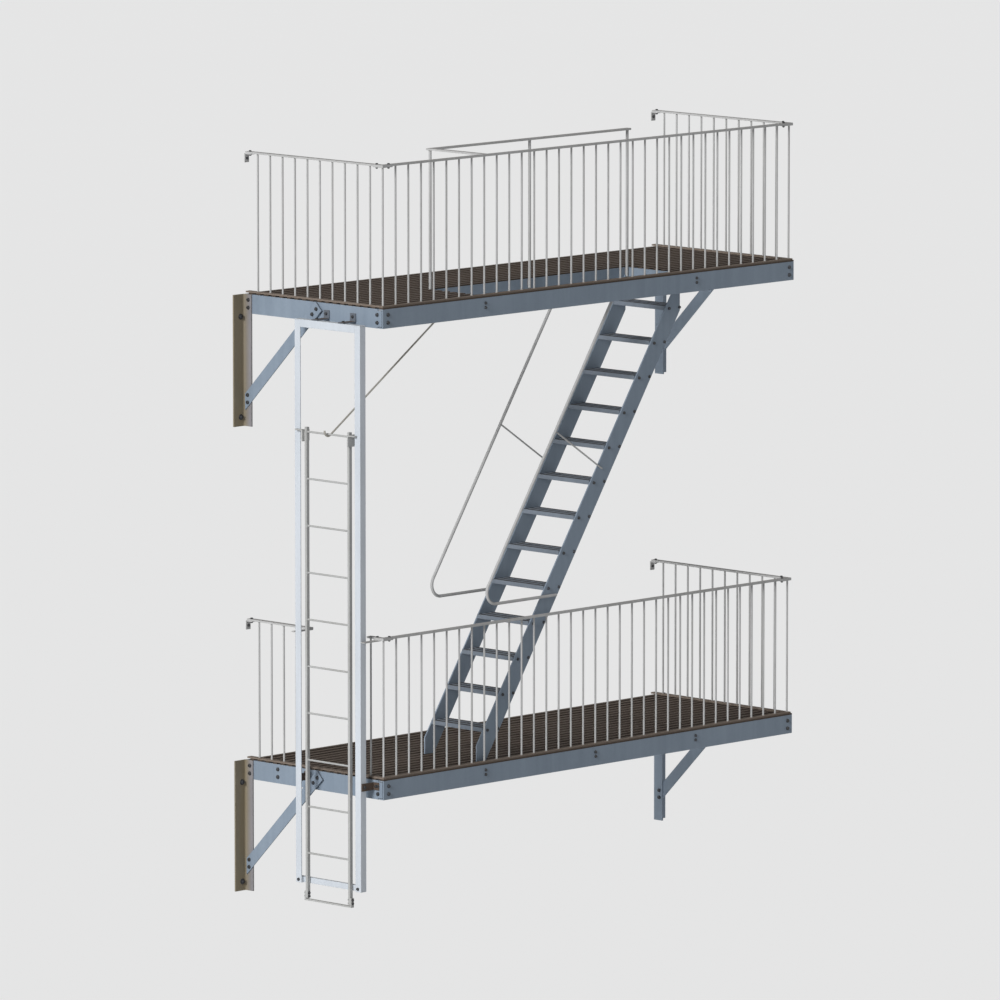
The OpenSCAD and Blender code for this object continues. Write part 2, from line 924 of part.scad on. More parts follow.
module guide_sill() {
  x_a = x_ladder + stile_deep + run_gap;
  y_a = y_guide_right + guide_thick;
  y_b = y_guide_left - guide_thick;
  pack = guide_leg - guide_thick;
  color("white")
    union() {
      block([x_a, y_a, z_guide_foot], [x_a + guide_thick, y_b, z_sill_top]);
      block([x_a, y_a, z_sill_top - guide_thick], [x_guide_rear, y_b, z_sill_top]);
      block([x_guide + guide_thick, y_a, z_guide_foot], [x_a + guide_thick, y_a + pack, z_sill_top]);
      block([x_guide + guide_thick, y_b, z_guide_foot], [x_a + guide_thick, y_b - pack, z_sill_top]);
    }
}

module guide_hanger(y) {
  z_a = z_guide_top;
  union() {
    block([x_guide, y, z_a], [x_left, y - guide_clip, z_a + guide_clip_thick]);
    block([x_left - guide_clip_thick, y, z_a], [x_left, y - guide_clip, z_a + guide_clip + guide_clip_thick]);
  }
}

module guide_standoff(y_a, y_b) {
  z_b = z_low - standoff_drop;
  z_a = z_b - guide_clip;
  difference() {
    union() {
      block([x_guide + guide_thick, y_a, z_a], [x_left, y_a - guide_thick, z_b]);
      block([x_left - guide_thick, y_b, z_a], [x_left, y_b - guide_clip, z_b]);
    }
    brace_plate(z_low, x_brace - cope_gap, cope_gap + brace_thick + post_thick + bite, cope_gap);
  }
}

module guide_clips() {
  color("lightsteelblue") {
    for (i = [0, 1])
      guide_hanger(y_brace_tip - hanger_gap - hanger_step * i);
    guide_standoff(y_guide_left - guide_thick, y_guide_left - 2 * guide_thick + guide_clip);
    guide_standoff(y_guide_right, y_guide_right);
  }
}

module guide_straps() {
  z_top = z_low + rail_foot;
  x_b = x_left + rail_inset + rail_wide;
  color("silver") {
    block([x_guide, y_guide_left, z_top - clip_thick], [x_b, y_guide_left + rail_wide, z_top]);
    block(
      [x_guide, y_guide_right, z_top - clip_thick - guide_thick],
      [x_left + rail_inset + rail_wide, y_guide_right - rail_wide, z_top - clip_thick]
    );
  }
}

// Drop ladder.
module ladder_stile(y_a, y_b) {
  block([x_ladder, y_a, z_stile_foot], [x_ladder + stile_deep, y_b, z_stile_top]);
}

module ladder_stiles() {
  color("white") {
    ladder_stile(y_ladder_left, y_ladder_left - stile_thick);
    ladder_stile(y_ladder_right, y_ladder_right + stile_thick);
  }
}

module ladder_rungs() {
  y_a = y_ladder_right + stile_thick;
  y_b = y_ladder_left - stile_thick;
  color("white")
    for (i = [0 : rung_count - 1])
      bar([x_rung, y_a, z_rung - rung_step * i], [x_rung, y_b, z_rung - rung_step * i], rung_d);
}

module ladder_stirrup() {
  z_a = z_stirrup - stirrup_thick * half_share;
  z_b = z_stile_foot + stirrup_lap;
  x_b = x_ladder + stile_deep;
  y_l = y_ladder_left;
  y_r = y_ladder_right;
  color("white")
    union() {
      block([x_ladder, y_r - stirrup_thick, z_a], [x_b, y_l + stirrup_thick, z_a + stirrup_thick]);
      block([x_ladder, y_l, z_a], [x_b, y_l + stirrup_thick, z_b]);
      block([x_ladder, y_r, z_a], [x_b, y_r - stirrup_thick, z_b]);
    }
}

module ladder_shoe(y, way) {
  z_b = z_stile_top - stile_over * half_share;
  union() {
    block([x_shoe, y, z_b - shoe_high], [x_shoe + shoe_deep, y + way * shoe_thick, z_b]);
    block([x_shoe, y, z_b - shoe_thick], [x_tab, y + way * shoe_reach, z_b]);
  }
}

module ladder_shoes() {
  color("white") {
    ladder_shoe(y_ladder_left, 1);
    ladder_shoe(y_ladder_right, -1);
  }
}

// Hook that holds the ladder up, and its bracket under the joist.
module hook_rod() {
  y = -guide_mid;
  aim = [cos(hook_aim), 0, sin(hook_aim)];
  pin = [x_pin, y, z_pin];
  turn = weld_turn(hook_r);
  color("gainsboro")
    difference() {
      union() {
        bar(pin, pin + aim * (hook_run - weld_gap), hook_d);
        translate([x_pin, y + eye_long * half_share, z_pin])
          rotate([right_angle, 0, 0])
            cylinder(d = eye_d, h = eye_long);
        translate([x_rung, y, z_hook])
          rotate([right_angle, 0, 0])
            rotate([0, 0, half_turn + turn])
              rotate_extrude(angle = hook_bend - 2 * turn)
                translate([hook_r, 0])
                  circle(d = hook_d);
        bar([x_rung - hook_r, y, z_hook + weld_gap], [x_rung - hook_r, y, z_hook + hook_tip], hook_d);
        weld_ring(pin + aim * hook_run, aim, hook_d);
        weld_ring([x_rung - hook_r, y, z_hook], [0, 0, 1], hook_d);
      }
      translate([x_pin, y + eye_long, z_pin])
        rotate([right_angle, 0, 0])
          cylinder(d = pin_d + 2 * pin_gap, h = 2 * eye_long);
    }
}

module hook_bracket() {
  y = -guide_mid;
  half = eye_long * half_share + lug_gap;
  z_top = z_high - joist_deep;
  r = eye_d * half_share;
  color("slategray")
    union() {
      block([x_pin - r, y - half - lug_thick, z_top - lug_thick], [x_pin + r, y + half + lug_thick, z_top]);
      for (s = [-1, 1]) {
        block(
          [x_pin - r, y + s * half, z_pin],
          [x_pin + r, y + s * (half + lug_thick), z_top]
        );
        translate([x_pin, y + s * (half + lug_thick * half_share) + lug_thick * half_share, z_pin])
          rotate([right_angle, 0, 0])
            cylinder(r = r, h = lug_thick);
      }
      translate([x_pin, y + half + lug_thick, z_pin])
        rotate([right_angle, 0, 0])
          cylinder(d = pin_d, h = 2 * (half + lug_thick));
    }
}

lower_left_post();
lower_right_post();
upper_left_post();
upper_right_post();
lower_braces();
upper_braces();
lower_front_channel();
upper_front_channel();
lower_end_beams();
upper_end_beams();
lower_rear_beam();
upper_rear_beam();
lower_joists();
upper_joists();
lower_cleats();
upper_cleats();
lower_slats();
upper_slats();
lower_front_guard();
lower_right_guard();
lower_left_sole();
lower_left_guard_rear();
lower_left_guard_front();
upper_front_guard();
upper_right_guard();
upper_left_guard();
lower_rail_fittings();
upper_rail_fittings();
well_back_trimmer();
well_end_trimmer();
well_guard();
stair_front_stringer();
stair_back_stringer();
stair_treads();
stair_front_handrail();
stair_back_handrail();
guide_left_stile();
guide_right_stile();
guide_head();
guide_sill();
guide_clips();
guide_straps();
ladder_stiles();
ladder_rungs();
ladder_stirrup();
ladder_shoes();
hook_rod();
hook_bracket();
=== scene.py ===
"""Looks of a wall-hung fire escape stair: two slatted balconies, a stair, and a drop ladder on a guide frame."""

import logging
import math
from collections.abc import Sequence
from dataclasses import dataclass, replace
from enum import Enum
from functools import partial, reduce

import bmesh
import bpy
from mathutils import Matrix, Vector


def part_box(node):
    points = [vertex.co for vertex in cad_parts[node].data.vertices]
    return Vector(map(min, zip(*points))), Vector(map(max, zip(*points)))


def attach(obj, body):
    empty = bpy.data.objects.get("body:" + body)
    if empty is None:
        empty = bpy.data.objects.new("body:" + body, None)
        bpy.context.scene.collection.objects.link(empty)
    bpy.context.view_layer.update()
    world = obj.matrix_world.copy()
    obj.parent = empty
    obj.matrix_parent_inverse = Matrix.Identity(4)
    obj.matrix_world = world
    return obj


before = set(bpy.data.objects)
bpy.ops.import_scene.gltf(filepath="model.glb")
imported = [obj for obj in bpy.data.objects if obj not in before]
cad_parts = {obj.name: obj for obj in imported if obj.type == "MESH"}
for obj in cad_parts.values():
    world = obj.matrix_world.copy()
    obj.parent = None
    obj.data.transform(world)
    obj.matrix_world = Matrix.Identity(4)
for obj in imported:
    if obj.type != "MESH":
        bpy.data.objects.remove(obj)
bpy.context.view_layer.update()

LOG = logging.getLogger("fire_escape")
Span = tuple[float, float]
Triple = tuple[float, float, float]
Colour = Place = Triple
Radii = float | Sequence[float]
Socket = bpy.types.NodeSocket
Inputs = dict[int | str, object]
Points = list[bmesh.types.BMVert]


class Body(Enum):
    """The bodies that pieces ride on."""

    FIXED = "root"
    LADDER = "drop_ladder"
    HOOK = "hook"


class Level(Enum):
    """The two balconies."""

    LOWER = "lower"
    UPPER = "upper"

    @property
    def top(self) -> float:
        """Height of the top of the beams."""
        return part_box(f"{self.value}_front_channel")[1].z


class Side(Enum):
    """The two ends of the balconies, seen from the street."""

    LEFT = "left"
    RIGHT = "right"

    def x(self, left_x: float) -> float:
        """Moves a place that is measured at the left end to this end."""
        return left_x if self is Side.LEFT else RIGHT_SUM - left_x

    def way(self) -> Vector:
        """Direction that points out of this end."""
        return LEFT if self is Side.LEFT else RIGHT


LEFT_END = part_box("lower_front_channel")[0].x
RIGHT_SUM = LEFT_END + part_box("lower_front_channel")[1].x
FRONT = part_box("lower_front_channel")[0].y
UP = Vector((0, 0, 1))
DOWN = Vector((0, 0, -1))
LEFT = Vector((-1, 0, 0))
RIGHT = Vector((1, 0, 0))
STREET = Vector((0, -1, 0))
WALL = Vector((0, 1, 0))
# Height of the top of the guards' sole bars above the beams.
SOLE_TOP = 0.019
# Height of the underside of the top rails above the beams.
RAIL_FOOT = 0.9125


class Edge(Enum):
    """Widths of the rounding on edges of rolled steel, in metres."""

    CHANNEL = 0.0022
    ANGLE = 0.0016
    STRINGER = 0.0015
    BAR = 0.0012
    THIN = 0.0010


def linear(colour: Colour) -> tuple[float, float, float, float]:
    """Turns a colour as it is seen into the shader's linear values.

    Args:
        colour: Red, green and blue from 0 to 1, as seen.

    Returns:
        The linear colour with full opacity.
    """
    parts = [c / 12.92 if c <= 0.04045 else ((c + 0.055) / 1.055) ** 2.4 for c in colour]
    return (parts[0], parts[1], parts[2], 1.0)


class Nodes:
    """Lays the nodes of one material or of the world."""

    def __init__(self, owner: bpy.types.Material | bpy.types.World) -> None:
        """Starts with no nodes.

        Args:
            owner: The material or the world.
        """
        owner.use_nodes = True
        self.tree = owner.node_tree
        self.tree.nodes.clear()

    def add(self, kind: str, inputs: Inputs | None = None, **settings: object) -> bpy.types.NodeOutputs:
        """Adds a node.

        Args:
            kind: The node's type.
            inputs: Outputs to link or plain values to set, by the name or number of the input.
            settings: Properties to set on the node.

        Returns:
            The node's outputs.
        """
        node = self.tree.nodes.new(kind)
        for key, value in settings.items():
            setattr(node, key, value)
        for key, value in (inputs or {}).items():
            if isinstance(value, Socket):
                self.tree.links.new(value, node.inputs[key])
            else:
                node.inputs[key].default_value = value
        return node.outputs

    def noise(self, where: Socket, scale: float, detail: float, rough: float = 0.5) -> Socket:
        """Adds a noise pattern with repeats in a metre, octaves and the weight of the finer ones."""
        inputs = {"Vector": where, "Scale": scale, "Detail": detail, "Roughness": rough}
        return self.add("ShaderNodeTexNoise", inputs)[0]

    def span(self, value: Socket, low: float, high: float, a: float = 0.0, b: float = 1.0) -> Socket:
        """Maps a value from the span of low to high to the span of a to b, and clamps it."""
        return self.add("ShaderNodeMapRange", {0: value, 1: low, 2: high, 3: a, 4: b}, clamp=True)[0]

    def maths(self, kind: str, a: object, b: object) -> Socket:
        """Joins two numbers by an operation."""
        return self.add("ShaderNodeMath", {0: a, 1: b}, operation=kind)[0]

    def blend(self, values: Sequence[Socket], shares: Sequence[float]) -> Socket:
        """Adds up values by their shares."""
        parts = [self.maths("MULTIPLY", value, share) for value, share in zip(values, shares)]
        return reduce(partial(self.maths, "ADD"), parts)

    def parts(self, vector: Socket) -> bpy.types.NodeOutputs:
        """Splits a vector into its three numbers."""
        return self.add("ShaderNodeSeparateXYZ", {0: vector})

    def mix(self, share: Socket, a: object, b: object) -> Socket:
        """Mixes a share of a second colour into a first."""
        return self.add("ShaderNodeMix", {0: share, 6: a, 7: b}, data_type="RGBA")[2]

    def mix_shaders(self, share: Socket, a: Socket, b: Socket) -> Socket:
        """Mixes a share of a second shader into a first."""
        return self.add("ShaderNodeMixShader", {0: share, 1: a, 2: b})[0]

    def seen(self) -> Socket:
        """Picks the rays that show a place, straight, mirrored or through glass.

        Returns:
            1 for those rays and 0 for the others.
        """
        rays = self.add("ShaderNodeLightPath")
        direct = self.maths("MAXIMUM", rays["Is Camera Ray"], rays["Is Glossy Ray"])
        return self.maths("MAXIMUM", direct, rays["Is Transmission Ray"])


@dataclass(frozen=True)
class Weather:
    """How paint ages, and where its painted top light, painted shade and painted edge highlights fall, alike on every
    finish.

    Attributes:
        patch: Repeats in a metre and octaves of the weathered patches.
        mottle: The same of the spots, with the weight of the finer ones.
        streak: The same of the rain streaks, before they are stretched.
        grit: The same of the grains.
        runs: Repeats of the rain streaks in a metre, along each axis.
        shares: Shares of the patches, streaks and spots in the tone.
        tone: Span of the tone, from weathered to clean paint.
        up: Span of a face's upward slope over which the painted top light comes in.
        spots: Span of the spots that thin the painted top light.
        thin: Share of the painted top light and of the painted warm shade near the wall that is left where each is
            thinnest.
        fade: Height over which the painted shade below a given height ends.
        wall_shade_from: Distance from the wall within which the painted warm shade is full.
        wall_shade_runs: Span of the streaks that thin the painted warm shade.
        turned: Span of an edge's turn, from flat to fully scuffed with its painted highlight.
        edge_spots: Span of the spots that break up the scuffing and the painted edge highlight.
        least_edge_mark: Share of the scuffing and the painted edge highlight where they are least.
        stray: How far the roughness strays from its mean.
        matt: Roughness added where the painted top light and painted shade lie.
        lift: Strength of the brush marks and grit.
        lift_shares: Shares of the spots and the grit in them.
        edge_samples: Samples of a softened edge.
    """

    patch: Span = (1.9, 3.0)
    mottle: Triple = (42.0, 6.0, 0.6)
    streak: Span = (1.0, 4.0)
    grit: Span = (420.0, 3.0)
    runs: Triple = (24.0, 24.0, 1.3)
    shares: Triple = (0.45, 0.35, 0.2)
    tone: Span = (0.36, 0.64)
    up: Span = (0.55, 0.95)
    spots: Span = (0.3, 0.7)
    thin: float = 0.75
    fade: float = 0.004
    wall_shade_from: float = 0.012
    wall_shade_runs: Span = (0.25, 0.7)
    turned: Span = (0.985, 0.86)
    edge_spots: Span = (0.4, 0.6)
    least_edge_mark: float = 0.25
    stray: float = 0.08
    matt: float = 0.35
    lift: float = 0.5
    lift_shares: Span = (0.7, 0.3)
    edge_samples: int = 4


WEATHER = Weather()


@dataclass(frozen=True)
class Paint:
    """A weathered coat of paint on steel, with painted top light, painted shade and painted edge highlights.

    Attributes:
        name: Name of the finish.
        slot: The record's slot that it belongs to; not used.
        colour: The paint where it is clean.
        shade: The paint in weathered patches.
        worn_and_highlight: The bare metal or primer on scuffed edges, lightened as a painted edge highlight.
        painted_top_light: Colour painted on faces that look up, standing in for warm light from above.
        painted_top_light_share: Share of that painted top light.
        rough: Roughness of the paint.
        gloss: Strength of its plain reflections.
        metal: How metallic it is.
        wear_and_highlight: Strength of the scuffing and the painted highlight on edges.
        edge: Radius of the softened edges, or 0 on round bars.
        bump: Depth of the brush marks and grit in metres.
        painted_wall_shade: Colour of the painted warm shade near the wall.
        painted_wall_shade_share: Share of that painted shade.
        painted_wall_shade_reach: Distance from the wall at which the painted shade ends.
        painted_shade_band: Height under which painted shade darkens everything.
        painted_shade_band_share: Share of that painted shade there.
    """

    name: str
    slot: str
    colour: Colour
    shade: Colour
    worn_and_highlight: Colour
    painted_top_light: Colour
    painted_top_light_share: float = 0.5
    rough: float = 0.5
    gloss: float = 0.3
    metal: float = 0.0
    wear_and_highlight: float = 0.6
    edge: float = 0.003
    bump: float = 0.0005
    painted_wall_shade: Colour = (0.5, 0.45, 0.35)
    painted_wall_shade_share: float = 0.0
    painted_wall_shade_reach: float = 0.06
    painted_shade_band: float | None = None
    painted_shade_band_share: float = 0.9

    def material(self) -> bpy.types.Material:
        """Finds or builds the material.

        Returns:
            The material of this finish.
        """
        made = bpy.data.materials.get(self.name)
        if made:
            return made
        made = bpy.data.materials.new(self.name)
        n = Nodes(made)
        where = n.add("ShaderNodeTexCoord")["Object"]
        skin = n.add("ShaderNodeNewGeometry")
        place = n.parts(where)
        runs = n.add("ShaderNodeMapping", {"Vector": where, "Scale": WEATHER.runs})[0]
        patch = n.noise(where, *WEATHER.patch)
        mottle = n.noise(where, *WEATHER.mottle)
        streak = n.noise(runs, *WEATHER.streak)
        grit = n.noise(where, *WEATHER.grit)
        tone = n.blend((patch, streak, mottle), WEATHER.shares)
        colour = n.mix(n.span(tone, *WEATHER.tone), linear(self.shade), linear(self.colour))
        # Painted top light and shade: faces that look up, and places below a given height, take a colour that stands
        # in for warm light from above.
        painted_share = self.painted_light_share(n, n.parts(skin["Normal"])[2], place[2], mottle)
        colour = n.mix(painted_share, colour, linear(self.painted_top_light))
        # Painted warm shade near the wall, in the posts' inner corner.
        if self.painted_wall_shade_share:
            colour = n.mix(self.painted_wall_shade_at(n, place[1], streak), colour, linear(self.painted_wall_shade))
        normal = skin["Normal"]
        if self.edge:
            normal = n.add("ShaderNodeBevel", {"Radius": self.edge}, samples=WEATHER.edge_samples)[0]
            # Scuffed edges and a painted edge highlight: a lighter colour on the softened edges.
            colour = n.mix(self.rub_and_highlight(n, normal, skin["True Normal"], mottle), colour, linear(self.worn_and_highlight))
        grain = n.blend((mottle, grit), WEATHER.lift_shares)
        lift = {"Strength": WEATHER.lift, "Distance": self.bump, "Height": grain, "Normal": normal}
        rough = n.span(mottle, *WEATHER.spots, self.rough - WEATHER.stray, self.rough + WEATHER.stray)
        shader = n.add("ShaderNodeBsdfPrincipled", {
            "Base Color": colour,
            "Metallic": self.metal,
            "Roughness": n.maths("ADD", rough, n.maths("MULTIPLY", painted_share, WEATHER.matt)),
            "Specular IOR Level": self.gloss,
            "Normal": n.add("ShaderNodeBump", lift)[0],
        })
        n.add("ShaderNodeOutputMaterial", {0: shader[0]})
        return made

    def painted_light_share(self, n: Nodes, slope: Socket, height: Socket, mottle: Socket) -> Socket:
        """Works out the share of painted top light and painted shade at a place.

        Args:
            n: The material's nodes.
            slope: How far the face looks up.
            height: Height of the place.
            mottle: The spots, which thin the painted top light.

        Returns:
            The share of painted top light and painted shade.
        """
        painted_share = n.maths("MULTIPLY", n.span(slope, *WEATHER.up), n.span(mottle, *WEATHER.spots, WEATHER.thin, 1.0))
        painted_share = n.maths("MULTIPLY", painted_share, self.painted_top_light_share)
        # Painted shade below a given height, on the standoffs and on the guards' sole bars.
        if self.painted_shade_band is None:
            return painted_share
        painted_shade_band = n.span(height, self.painted_shade_band, self.painted_shade_band + WEATHER.fade, self.painted_shade_band_share, 0.0)
        return n.maths("MAXIMUM", painted_share, painted_shade_band)

    def painted_wall_shade_at(self, n: Nodes, across: Socket, streak: Socket) -> Socket:
        """Works out the share of painted warm shade near the wall at a place.

        Args:
            n: The material's nodes.
            across: Place across the balcony, which is negative in front of the wall.
            streak: The rain streaks, which thin the painted shade.

        Returns:
            The share of the painted warm shade.
        """
        near = n.span(across, -self.painted_wall_shade_reach, -WEATHER.wall_shade_from)
        near = n.maths("MULTIPLY", near, n.span(streak, *WEATHER.wall_shade_runs, WEATHER.thin, 1.0))
        return n.maths("MULTIPLY", near, self.painted_wall_shade_share)

    def rub_and_highlight(self, n: Nodes, soft: Socket, flat: Socket, mottle: Socket) -> Socket:
        """Works out how far an edge is scuffed bare and carries a painted highlight.

        Args:
            n: The material's nodes.
            soft: Direction of the softened face.
            flat: Direction of the face itself.
            mottle: The spots, which break up the scuffing and the painted highlight.

        Returns:
            The share of bare metal or primer, with the painted edge highlight.
        """
        turn = n.add("ShaderNodeVectorMath", {0: soft, 1: flat}, operation="DOT_PRODUCT")["Value"]
        edge_mark = n.span(turn, *WEATHER.turned)
        edge_mark = n.maths("MULTIPLY", edge_mark, n.span(mottle, *WEATHER.edge_spots, WEATHER.least_edge_mark, 1.0))
        return n.maths("MULTIPLY", edge_mark, self.wear_and_highlight)


# Painted top light: the colour taken by faces that look up on the beams and posts, standing in for warm light from
# above.
PAINTED_TOP_LIGHT: Colour = (0.46, 0.41, 0.37)
BEAM = Paint("steel_coat", "beam_paint", (0.575, 0.63, 0.69), (0.52, 0.575, 0.635), (0.72, 0.76, 0.80), PAINTED_TOP_LIGHT)
# Painted warm shade and bounce light: the left posts are tinted tan near the wall, in their inner corner, and their
# wider pale edges carry a painted edge highlight.
POST = Paint(
    "post_paint", "beam_paint", (0.60, 0.59, 0.605), (0.54, 0.53, 0.54), (0.78, 0.76, 0.70), PAINTED_TOP_LIGHT,
    edge=0.004, painted_wall_shade=(0.55, 0.50, 0.385), painted_wall_shade_share=0.9,
)
# Painted shade: the clips are painted darker than the beams, and the standoffs below the lower beams take a dark
# brown painted shade.
SHADED_CLIP = Paint(
    "clip_paint_shaded", "beam_paint", (0.44, 0.47, 0.51), (0.38, 0.40, 0.43), (0.60, 0.62, 0.64), (0.36, 0.29, 0.235),
    painted_top_light_share=0.9, painted_shade_band=Level.LOWER.top,
)
# Painted shade: the tread tops take a dark colour through the painted top light.
TREAD = Paint(
    "tread_paint", "slat_paint", (0.53, 0.565, 0.61), (0.48, 0.515, 0.555), (0.67, 0.695, 0.72), (0.26, 0.245, 0.235),
    painted_top_light_share=0.92, rough=0.55, gloss=0.15,
)
# Painted top light and shade: the slat tops take a lighter colour, and the darker base colour is partly painted shade
# on the slat sides.
DECK = Paint(
    "deck_paint", "slat_paint", (0.345, 0.305, 0.275), (0.30, 0.265, 0.24), (0.50, 0.445, 0.405), (0.45, 0.395, 0.35),
    rough=0.65, gloss=0.15, bump=0.0008,
)
HAND = Paint(
    "handrail_paint", "rail_paint", (0.8, 0.8, 0.8), (0.725, 0.725, 0.72), (0.87, 0.867, 0.855), (0.50, 0.44, 0.39),
    painted_top_light_share=0.3, rough=0.74, gloss=0.12, edge=0.0,
)
# Painted shade: the guards' sole bars take a brown colour that stands in for dim warm light from above.
LOW_RAIL = replace(HAND, name="lower_rail_paint", painted_shade_band=Level.LOWER.top + SOLE_TOP)
HIGH_RAIL = replace(HAND, name="upper_rail_paint", painted_shade_band=Level.UPPER.top + SOLE_TOP)
GUIDE = Paint(
    "frame_coat", "guide_paint", (0.87, 0.895, 0.925), (0.82, 0.845, 0.875), (0.93, 0.94, 0.95), (0.66, 0.64, 0.61),
    painted_top_light_share=0.35, wear_and_highlight=0.4, rough=0.45,
)
# Painted shade: the ladder takes a darker copy of the frame's white paint.
LADDER = Paint(
    "ladder_paint_shaded", "guide_paint", (0.765, 0.77, 0.77), (0.70, 0.70, 0.69), (0.87, 0.87, 0.855), (0.62, 0.595, 0.545),
    painted_top_light_share=0.3, wear_and_highlight=0.5, rough=0.45,
)
ROD = Paint(
    "hook_rod_steel", "hook_steel", (0.74, 0.73, 0.70), (0.65, 0.63, 0.59), (0.82, 0.81, 0.78), (0.58, 0.53, 0.47),
    painted_top_light_share=0.2, edge=0.0, metal=0.35, rough=0.42,
)
BOLT = Paint(
    "bolt_steel", "hook_steel", (0.30, 0.31, 0.335), (0.25, 0.245, 0.24), (0.46, 0.46, 0.46), (0.31, 0.27, 0.23),
    painted_top_light_share=0.35, wear_and_highlight=0.8, edge=0.0015, metal=0.55, rough=0.45, bump=0.0003,
)


@dataclass(frozen=True)
class BoltSize:
    """Sizes of a bolt, its nut and its washers, in metres.

    Attributes:
        flats: Width of the head across its flats.
        head: Height of the head.
        washer: Radius of the washers.
        plate: Thickness of a washer.
        shank: Radius of the thread.
        nut: Height of the nut.
        tail: Length of thread past the nut.
    """

    flats: float
    head: float
    washer: float
    plate: float
    shank: float
    nut: float
    tail: float


BEAM_BOLT = BoltSize(0.0205, 0.0075, 0.0128, 0.0020, 0.007, 0.009, 0.004)
TREAD_BOLT = BoltSize(0.017, 0.0068, 0.0105, 0.0018, 0.005, 0.008, 0.004)
SMALL_BOLT = BoltSize(0.015, 0.006, 0.0095, 0.0016, 0.0045, 0.007, 0.003)
WALL_BOLT = BoltSize(0.026, 0.009, 0.0190, 0.0030, 0.009, 0.013, 0.006)

# Points around a head, nut or thread, and around a washer, pin or weld collar.
HEAD_SIDES = 12
RING_SIDES = 20
# Shares of a head's height at which its corners start, end, and meet the rim.
HEAD_STEPS = (0.1, 0.84, 0.92)
# Radius of a head's rim and of its flat top, as shares of its width across the flats.
HEAD_RIM = 0.525
HEAD_CROWN = 0.44
# Share of a washer's thickness that its edge is cut by.
WASHER_CUT = 0.3
# Distance between threads, depth at which they start in the nut, and length of the thread's point.
THREAD_PITCH = 0.0025
THREAD_START = 0.001
THREAD_POINT = 0.002
# Radius of the thread's root and of its point, as shares of the shank.
THREAD_ROOT = 0.88
THREAD_TIP = 0.72
# Upward part of a direction from which an axis counts as upright.
UPRIGHT = 0.9
# Angle from which an edge of an added piece stays sharp, and from which an edge of a solid is rounded.
SHARP_ANGLE = math.radians(32)
ROUND_ANGLE = math.radians(50)
# Distance within which points of a solid count as one.
SAME_POINT = 0.00002


@dataclass(frozen=True)
class Weld:
    """Form of the weld beads: lengths in metres, turns in radians, and the rest as shares of the leg.

    Attributes:
        leg: Leg of a bead on a thin bar.
        heavy_leg: Leg of a bead on a thick bar or a plate.
        ripple: Height of the ripples.
        collar_turn: Turn from ripple to ripple around a bar.
        bead_turn: Turn from ripple to ripple along a straight bead.
        belly: Reach and height of the middle of a collar.
        crest: Height of a collar.
        inside: Inner radius of a collar, as a share of the bar's.
        pitch: Length of a step of a straight bead.
        least_steps: Least number of those steps.
        middle: Mean radius of a straight bead.
        tip: Radius of its two ends, as a share of the rest.
        sides: Points around a straight bead.
    """

    leg: float = 0.0035
    heavy_leg: float = 0.004
    ripple: float = 0.16
    collar_turn: float = 2.4
    bead_turn: float = 2.1
    belly: Span = (0.62, 0.6)
    crest: float = 1.05
    inside: float = 0.9
    pitch: float = 0.006
    least_steps: int = 4
    middle: float = 0.86
    tip: float = 0.45
    sides: int = 8


WELD = Weld()


